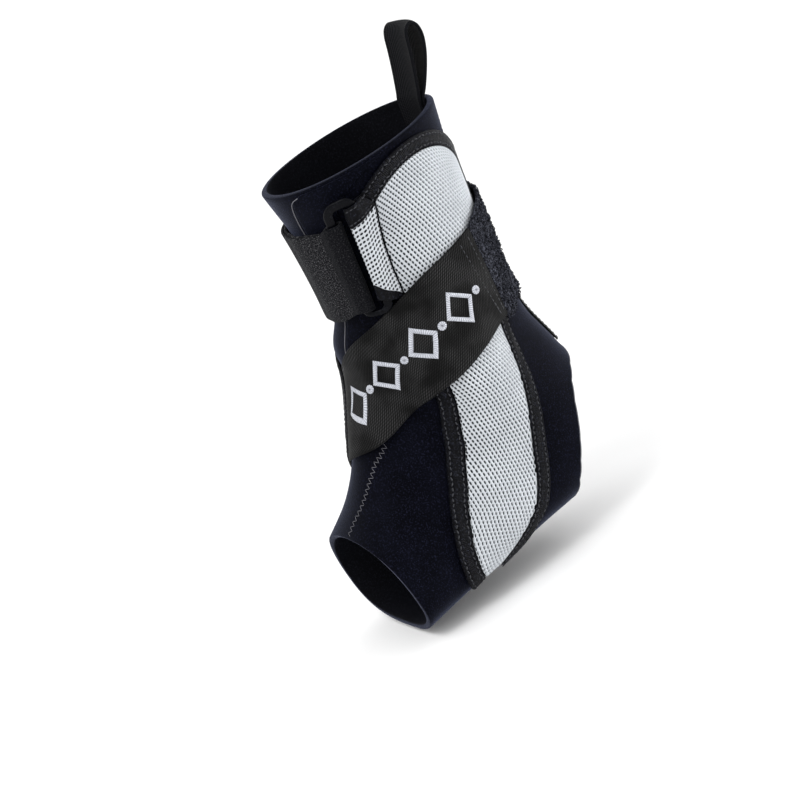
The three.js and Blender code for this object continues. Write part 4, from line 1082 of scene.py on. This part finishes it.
# %% The tab and its bound edges
# Share of the way from seam to bar, then height in tab thicknesses, gaps, heights under the ring and ring thicknesses.
TAB_PATH = [
    (0, 0.5, 0, 0, 0), (0.35, 0.5, 0.6, 0, 0), (0.62, 0.5, 0, 0.37, 0), (0.8, 0.5, 0, 0.44, 0), (1, 0.5, 0, 0.44, 0),
    (1.11, 0.5, 0, 0.62, 0), (1.15, 0.5, 0, 1, 0.14), (1.11, 0.5, 0, 1, 0.8), (1, 0.5, 1.2, 1, 1),
    (0.8, 0.5, 1.6, 1, 1), (0.58, 0.5, 1.6, 1, 1), (0.4, 0.5, 0, 1, 0.5), (0.2, 1.5, 1, 0.33, 0), (0, 1.5, 1.4, 0, 0),
]
TAB_HALF, TAB_SPLAY = 28.6, 26
tab_line = [(share, t * TAB_THICK + g * GAP + u * UNDER_RING + r * RING_THICK) for share, t, g, u, r in TAB_PATH]
tab_share, tab_over = folded(tab_line, 6)[:2]


def tab_points(share, over, sides, x, extra=0.0):
    """Points of the tab: share from the seam to the ring's bar, x from its low to its high edge."""
    bar_low, bar_high, seam_low, seam_high = sides
    at_seam, at_bar = TAB_HALF * mix(seam_low, seam_high, x), half_length * mix(bar_low, bar_high, x)
    up_tab = mix(at_seam, at_bar, np.clip(share, 0, 1))
    level_here = RING_STATION - up_tab / STATION_MM
    above = np.minimum(level_here - INNER_PANEL[0][0], 0)
    seam_turn = edge_turn_at(INNER_PANEL, False, level_here) + TAB_SPLAY * above
    end = (seam_turn - 1.2 - RING_TURN - RING_LEAN * up_tab) * TURN_MM
    station, turn = ring_spot(mix(end, RING_BAR / 2 + RING_WINDOW, share), up_tab)
    return lay(station, turn, SEAT + over + extra)


# Low and high edge at the bar, then at the seam, as shares of the ring's and the tab's half height.
TAB_MESH, TAB_TOP = (-0.406, 0.545, -0.734, 0.65), (0.56, 0.85, 0.665, 0.87)
TAB_LOW = (-0.685, -0.42, -0.84, -0.748)
for name, sides, thick, finish, node, slot_name, columns in [
    ("tab_mesh_core", TAB_MESH, TAB_THICK * 0.55, mesh_spacer, "ring_tab_mesh", "mesh", 25),
    ("tab_top_binding", TAB_TOP, TAB_THICK, binding_cloth, "ring_tab_top_binding", "binding", 9),
    ("tab_low_binding", TAB_LOW, TAB_THICK, binding_cloth, "ring_tab_low_binding", "binding", 9),
]:
    piece = grid_piece(name, tab_points(tab_share[:, None], tab_over[:, None], sides, np.linspace(0, 1, columns)))
    thicken(piece, thick)
    place_in_part(piece, finish, node)
    print(name, "faces", len(piece.data.polygons))

# %% Mesh face of the tab
TAB_FACE = 0.75


class TabCloth(FlatCloth):
    """The flat map of the tab's outer leaf, from the seam to the ring's bar and round it."""

    def __init__(self):
        first = int(np.argmax(tab_share))
        self.share, self.over = tab_share[first:][::-1], tab_over[first:][::-1]
        self.measure(np.arange(len(self.share) + 0.0))

    def point(self, along, across, extra=0.0):
        index = np.arange(len(self.share))
        share, over = np.interp(along, index, self.share), np.interp(along, index, self.over)
        return tab_points(share, over, TAB_MESH, across, TAB_FACE + extra)


place_in_part(mesh_face("tab_mesh", TabCloth(), TAB_SLANT))

# %% [markdown]
# ## Tape and pull loop
# A glossy tape covers the back seam. The pull loop is one strip of ribbed webbing that comes up from inside the top
# edge, folds over and goes down again. Both are grids on the line that their solids follow.

# %% Back tape
TAPE_WIDTH, TAPE_END = 11, 4.1


def per_turn(station, lift):
    """How many millimetres one degree of turn is, at the back."""
    return np.linalg.norm(lay(station, 180, lift) - lay(station, 181, lift), axis=-1)


station, x = np.meshgrid(np.linspace(0.06, TAPE_END, 120), np.linspace(-0.5, 0.5, 13), indexing="ij")
turn = 180 + x * TAPE_WIDTH / per_turn(station, SEAT)
crown = 0.25 + 0.75 * ease((0.5 - np.abs(x)) / 0.15)
points = lay(station, turn, SEAT - FACET + TAPE_THICK * crown)
uv = np.stack([x * TAPE_WIDTH, lengths(points, 0)], axis=-1)
tape = grid_piece("back_seam_tape", points[:, ::-1], uv[:, ::-1])
thicken(tape, 0.5, -1)
place_in_part(tape, tape_cloth, "back_tape")
print("tape faces", len(tape.data.polygons))

# %% Pull loop
LOOP_HEIGHT, LOOP_WIDTH, LOOP_THICK, LOOP_BULGE, LOOP_TAIL = 33, 24, 1.4, 9, 12
# Out and up, as shares of the loop's bulge and height.
LOOP_RISE = [
    (0.12, 0.14), (0.42, 0.34), (0.68, 0.56), (0.8, 0.76), (0.74, 0.9), (0.56, 0.98), (0.34, 1), (0.13, 0.95),
    (0.02, 0.85), (-0.02, 0.68), (-0.08, 0.48), (-0.17, 0.26), (-0.25, 0.1),
]
loop_path = [(-GAP - LOOP_THICK / 2, share * LOOP_TAIL) for share in (-1, -0.5, 0)]
loop_path += [(out * LOOP_BULGE, rise * LOOP_HEIGHT) for out, rise in LOOP_RISE]
loop_path += [(-2 * GAP - LOOP_THICK * 1.5, share * LOOP_TAIL) for share in (0, -0.5, -1)]
out, rise, run_mm = folded(loop_path, 6)
x = np.linspace(-0.5, 0.5, 25)
climb = skin(0, 180) - skin(0.3, 180)
out, rise = out[:, None], rise[:, None]
turn = 180 + x * LOOP_WIDTH / per_turn(0, out)
down_mm = np.linalg.norm(climb) / 0.3
points = lay(np.maximum(-rise, 0) / down_mm, turn, out) + unit(climb) * np.maximum(rise, 0)[..., None]
uv = np.stack(np.broadcast_arrays(x * LOOP_WIDTH, run_mm[:, None]), axis=-1)
loop = grid_piece("pull_loop_webbing", points, uv)
thicken(loop, LOOP_THICK, edge=0.4)
place_in_part(loop, loop_webbing, "pull_loop")
print("loop webbing", round(float(run_mm[-1])), "mm long")

# %% [markdown]
# ## Edge threads
# Cut edges are finished with a fine thread: a pale one round the heel opening and along the flap, and a dark
# selvedge on the webbing. Each is a thin tube that follows a path on the form.

# %% Thin tubes


def tube(name, points, above, radius, finish, closed=False):
    """A tube round a line of points in millimetres. Its wall is a grid that closes on itself. above is a second
    line of points that shows which way is out."""
    run = np.roll(points, -1, axis=0) - np.roll(points, 1, axis=0) if closed else np.gradient(points, axis=0)
    aside = unit(np.cross(unit(run), above - points))
    out = np.cross(aside, unit(run))
    angle = np.linspace(0, 2 * np.pi, 8)[:, None]
    wall = points[:, None] + radius * (aside[:, None] * np.cos(angle) + out[:, None] * np.sin(angle))
    piece = grid_piece(name, np.concatenate([wall, wall[:1]]) if closed else wall)
    mend(piece, join_mm=0.01)
    if not closed:
        bpy.ops.object.mode_set(mode="EDIT")
        bpy.ops.mesh.select_all(action="DESELECT")
        bpy.ops.mesh.select_non_manifold()
        bpy.ops.mesh.fill_holes(sides=0)
        bpy.ops.object.mode_set(mode="OBJECT")
    mend(piece, consistent=True)
    piece.data.shade_smooth()
    place_in_part(piece, finish)


open_rows = np.linspace(CLOSED_TO, 7.6, 160)
open_turn = np.interp(open_rows, edge_station, edge_turn)
station = np.concatenate([open_rows, open_rows[::-1][1:-1]])
turn = np.concatenate([open_turn, -open_turn[::-1][1:-1]])
heel_line, heel_above = (lay(station, turn, CLOTH * 0.95 + rise) for rise in (0, 1))
tube("heel_edge_thread", heel_line, heel_above, 0.32, grey_thread, closed=True)
at = np.linspace(0.15, flap_cloth.last - 0.1, 200)
flap_line = flap_cloth.point(at, 0, FLAP_THICK * 0.75)
tube("flap_edge_thread", flap_line, flap_cloth.point(at, 0, 5), 0.2, grey_thread)
at = np.linspace(0.02, webbing_cloth.last - 0.02, 240)
for name, x in (("webbing_top_selvedge", 0.004), ("webbing_low_selvedge", 0.996)):
    line = webbing_cloth.point(at, x, WEBBING_THICK * 0.55)
    tube(name, line, webbing_cloth.point(at, x, 5), 0.62, webbing_twill)
print("edge threads done")

# %% [markdown]
# ## Stitched pattern on the webbing
# The webbing carries a plain raised pattern in silver thread, a row of open lozenges with a dot between them, in
# satin stitch. One lozenge is a band that runs round a rhombus on the webbing's flat map.

# %% Lozenges and dots
LOZENGE_LONG, LOZENGE_TALL, BAND, DOT = 8.2, 9.6, 2.3, 2.1
FIRST, STEP, END_ROOM = 14, 22.0, 24


def satin_shape(name, outline, inner_scale, along):
    """A raised band of thread between two scaled copies of an outline, round a point along the webbing."""
    v = np.linspace(0, 1, 9)
    scale = mix(inner_scale, 1, v)
    run = np.cumsum(np.hypot(*np.gradient(outline, axis=0).T))[:, None]
    rise = WEBBING_THICK + 0.05 + 0.55 * np.sqrt(np.clip(1 - (2 * v - 1) ** 2, 0, 1))
    rise = rise + 0.05 * np.sin(run * 2 * np.pi / 1.1)
    points = webbing_cloth.place(along + outline[:, :1] * scale, outline[:, 1:] * scale, rise)
    piece = grid_piece(name, points, np.stack(np.broadcast_arrays(run, v * 3), axis=-1))
    face_outward(piece)
    piece.data.materials.append(silver_satin)
    return piece


corners = np.array([(1, 0), (0, 1), (-1, 0), (0, -1), (1, 0)], float)
u = np.linspace(0, 4, 97)
k = np.minimum(u.astype(int), 3)
rhombus = mix(corners[k], corners[k + 1], (u - k)[:, None]) * (LOZENGE_LONG, LOZENGE_TALL)
angle = np.linspace(0, 2 * np.pi, 41)
circle = np.stack([np.cos(angle), np.sin(angle)], axis=-1) * DOT
satin = []
for number in range(int((webbing_cloth.length - END_ROOM) / STEP) + 1):
    along = FIRST + number * STEP
    satin.append(satin_shape(f"satin_lozenge_{number}", rhombus, 1 - BAND / LOZENGE_TALL * 1.4, along))
    if along + STEP / 2 < webbing_cloth.length - 8:
        satin.append(satin_shape(f"satin_dot_{number}", circle, 0.02, along + STEP / 2))
print("satin shapes:", len(satin))
select_only(satin[0])
for piece in satin:
    piece.select_set(True)
bpy.ops.object.join()
motif = bpy.context.object
motif.name = motif.data.name = "satin_pattern"
place_in_part(motif)

# %% [markdown]
# ## Loop pile
# Hook tape grips loop pile: a felt of tiny curled loops. One curl is a small torus, half sunk in the band. A few
# thousand copies, each turned and sized by seeded chance, make the fuzzy face and the fuzzy outline.

# %% Scatter the curls
CURLS, CURL_SEAT = 3800, PILE_THICK - 0.75
bpy.ops.object.select_all(action="DESELECT")
bpy.ops.mesh.primitive_torus_add(major_segments=7, minor_segments=3, major_radius=0.55, minor_radius=0.15)
curl_points, curl_faces = as_points(bpy.context.object)
chance = np.random.default_rng(7)
s = chance.uniform(0.3, pile_base.length - 0.3, CURLS)
t = chance.uniform(-0.5, 0.5, CURLS) * (pile_base.width(s) + 1.6)
seat = pile_base.place(s, t, CURL_SEAT)
ahead = unit(pile_base.place(np.clip(s + 0.5, 0, pile_base.length), t, CURL_SEAT) - seat)
out = unit(pile_base.place(s, t, CURL_SEAT + 1) - seat)
aside = np.cross(out, ahead)
spin, tip = chance.uniform(0, 2 * np.pi, (CURLS, 1)), chance.uniform(-0.9, 0.9, (CURLS, 1))
size = chance.uniform(0.9, 1.9, CURLS)[:, None, None]
flat_x = ahead * np.cos(spin) + aside * np.sin(spin)
stand = out * np.cos(tip) + (aside * np.cos(spin) - ahead * np.sin(spin)) * np.sin(tip)
axes = np.stack([flat_x, stand, np.cross(flat_x, stand)], axis=1)
curls = copies("pile_curls", seat[:, None] + size * (curl_points @ axes), curl_faces, pile_cloth)
mend(curls, consistent=True)
place_in_part(curls)
print("curls:", CURLS, "faces", len(curls.data.polygons))

# %% [markdown]
# ## The last seams
# The webbing's end is hemmed with two rows of stitches across it. A zigzag joins the cloth along the sole, and the
# back tape, the tab and the panel's corner are sewn down. Each row needs only its points, the way along it and the
# way out, so the one sewing function makes them all.

# %% Hem and corner of the webbing


def flat_row(cloth, s, t, lift):
    """A row of stitches through places on a flat map."""
    point = cloth.place(s, t, lift)
    return point, np.gradient(point, axis=0), cloth.place(s, t, lift + 1) - point


across = np.arange(-18, 18, STITCH_STEP)
hem = [flat_row(webbing_cloth, webbing_cloth.length - from_end, across, WEBBING_THICK + 0.12)
       for from_end in (2.2, 6.5)]
sew("webbing_hem_stitches", hem, black_thread, length=2.0, thick=0.5, sink=0.12)
run_mm = np.arange(1.0, 17, 2.0)
corner = flat_row(webbing_cloth, run_mm, 1.4 - webbing_cloth.width(run_mm) / 2, WEBBING_THICK + 0.1)
sew("webbing_corner_stitches", [corner], grey_thread, length=1.6, thick=0.3, sink=0.05)

# %% Seams of the sole and the back tape
sole = row_on(np.linspace(7.7, 9.9, 100), np.full(100, 180.0), 1.3, CLOTH + 0.15, ahead=0.7, lean=1.0)
sew("sole_zigzag", [sole], grey_thread, length=3.4, thick=0.36, sink=0.05)
at = np.linspace(0.1, 4.05, 200)
tape_rows = [row_on(at, 180 + aside / per_turn(at, SEAT), STITCH_STEP, SEAT - FACET + TAPE_THICK + 0.05)
             for aside in (-4.6, 4.6)]
sew("tape_stitches", tape_rows, black_thread, length=1.6, thick=0.26, sink=0.08)

# %% Seams of the tab
leaf = np.linspace(int(np.argmax(tab_share)) + 8, len(tab_share) - 2, 60)
index = np.arange(len(tab_share))
share, over_seat = np.interp(leaf, index, tab_share), np.interp(leaf, index, tab_over) + TAB_THICK / 2 + 0.1
tab_rows = []
for x in (0.14, 0.86):
    line, above = tab_points(share, over_seat, TAB_TOP, x), tab_points(share, over_seat + 1, TAB_TOP, x)
    run_mm = line_run(line)
    even = np.arange(0.8, run_mm[-1], 2.1)
    point, higher = (np.stack([np.interp(even, run_mm, way[:, k]) for k in range(3)], axis=-1) for way in (line, above))
    tab_rows.append((point, np.gradient(point, axis=0), higher - point))
sew("tab_binding_stitches", tab_rows, black_thread, length=1.7, thick=0.42, sink=0.08)
x = np.linspace(0.02, 0.98, 20)
seam, higher = (tab_points(0.01, lift, TAB_MESH, x) for lift in (3.4, 4.4))
seam_row = (seam, np.gradient(seam, axis=0), higher - seam)
sew("tab_seam_stitches", [seam_row], grey_thread, length=1.0, thick=0.32, sink=0.05)
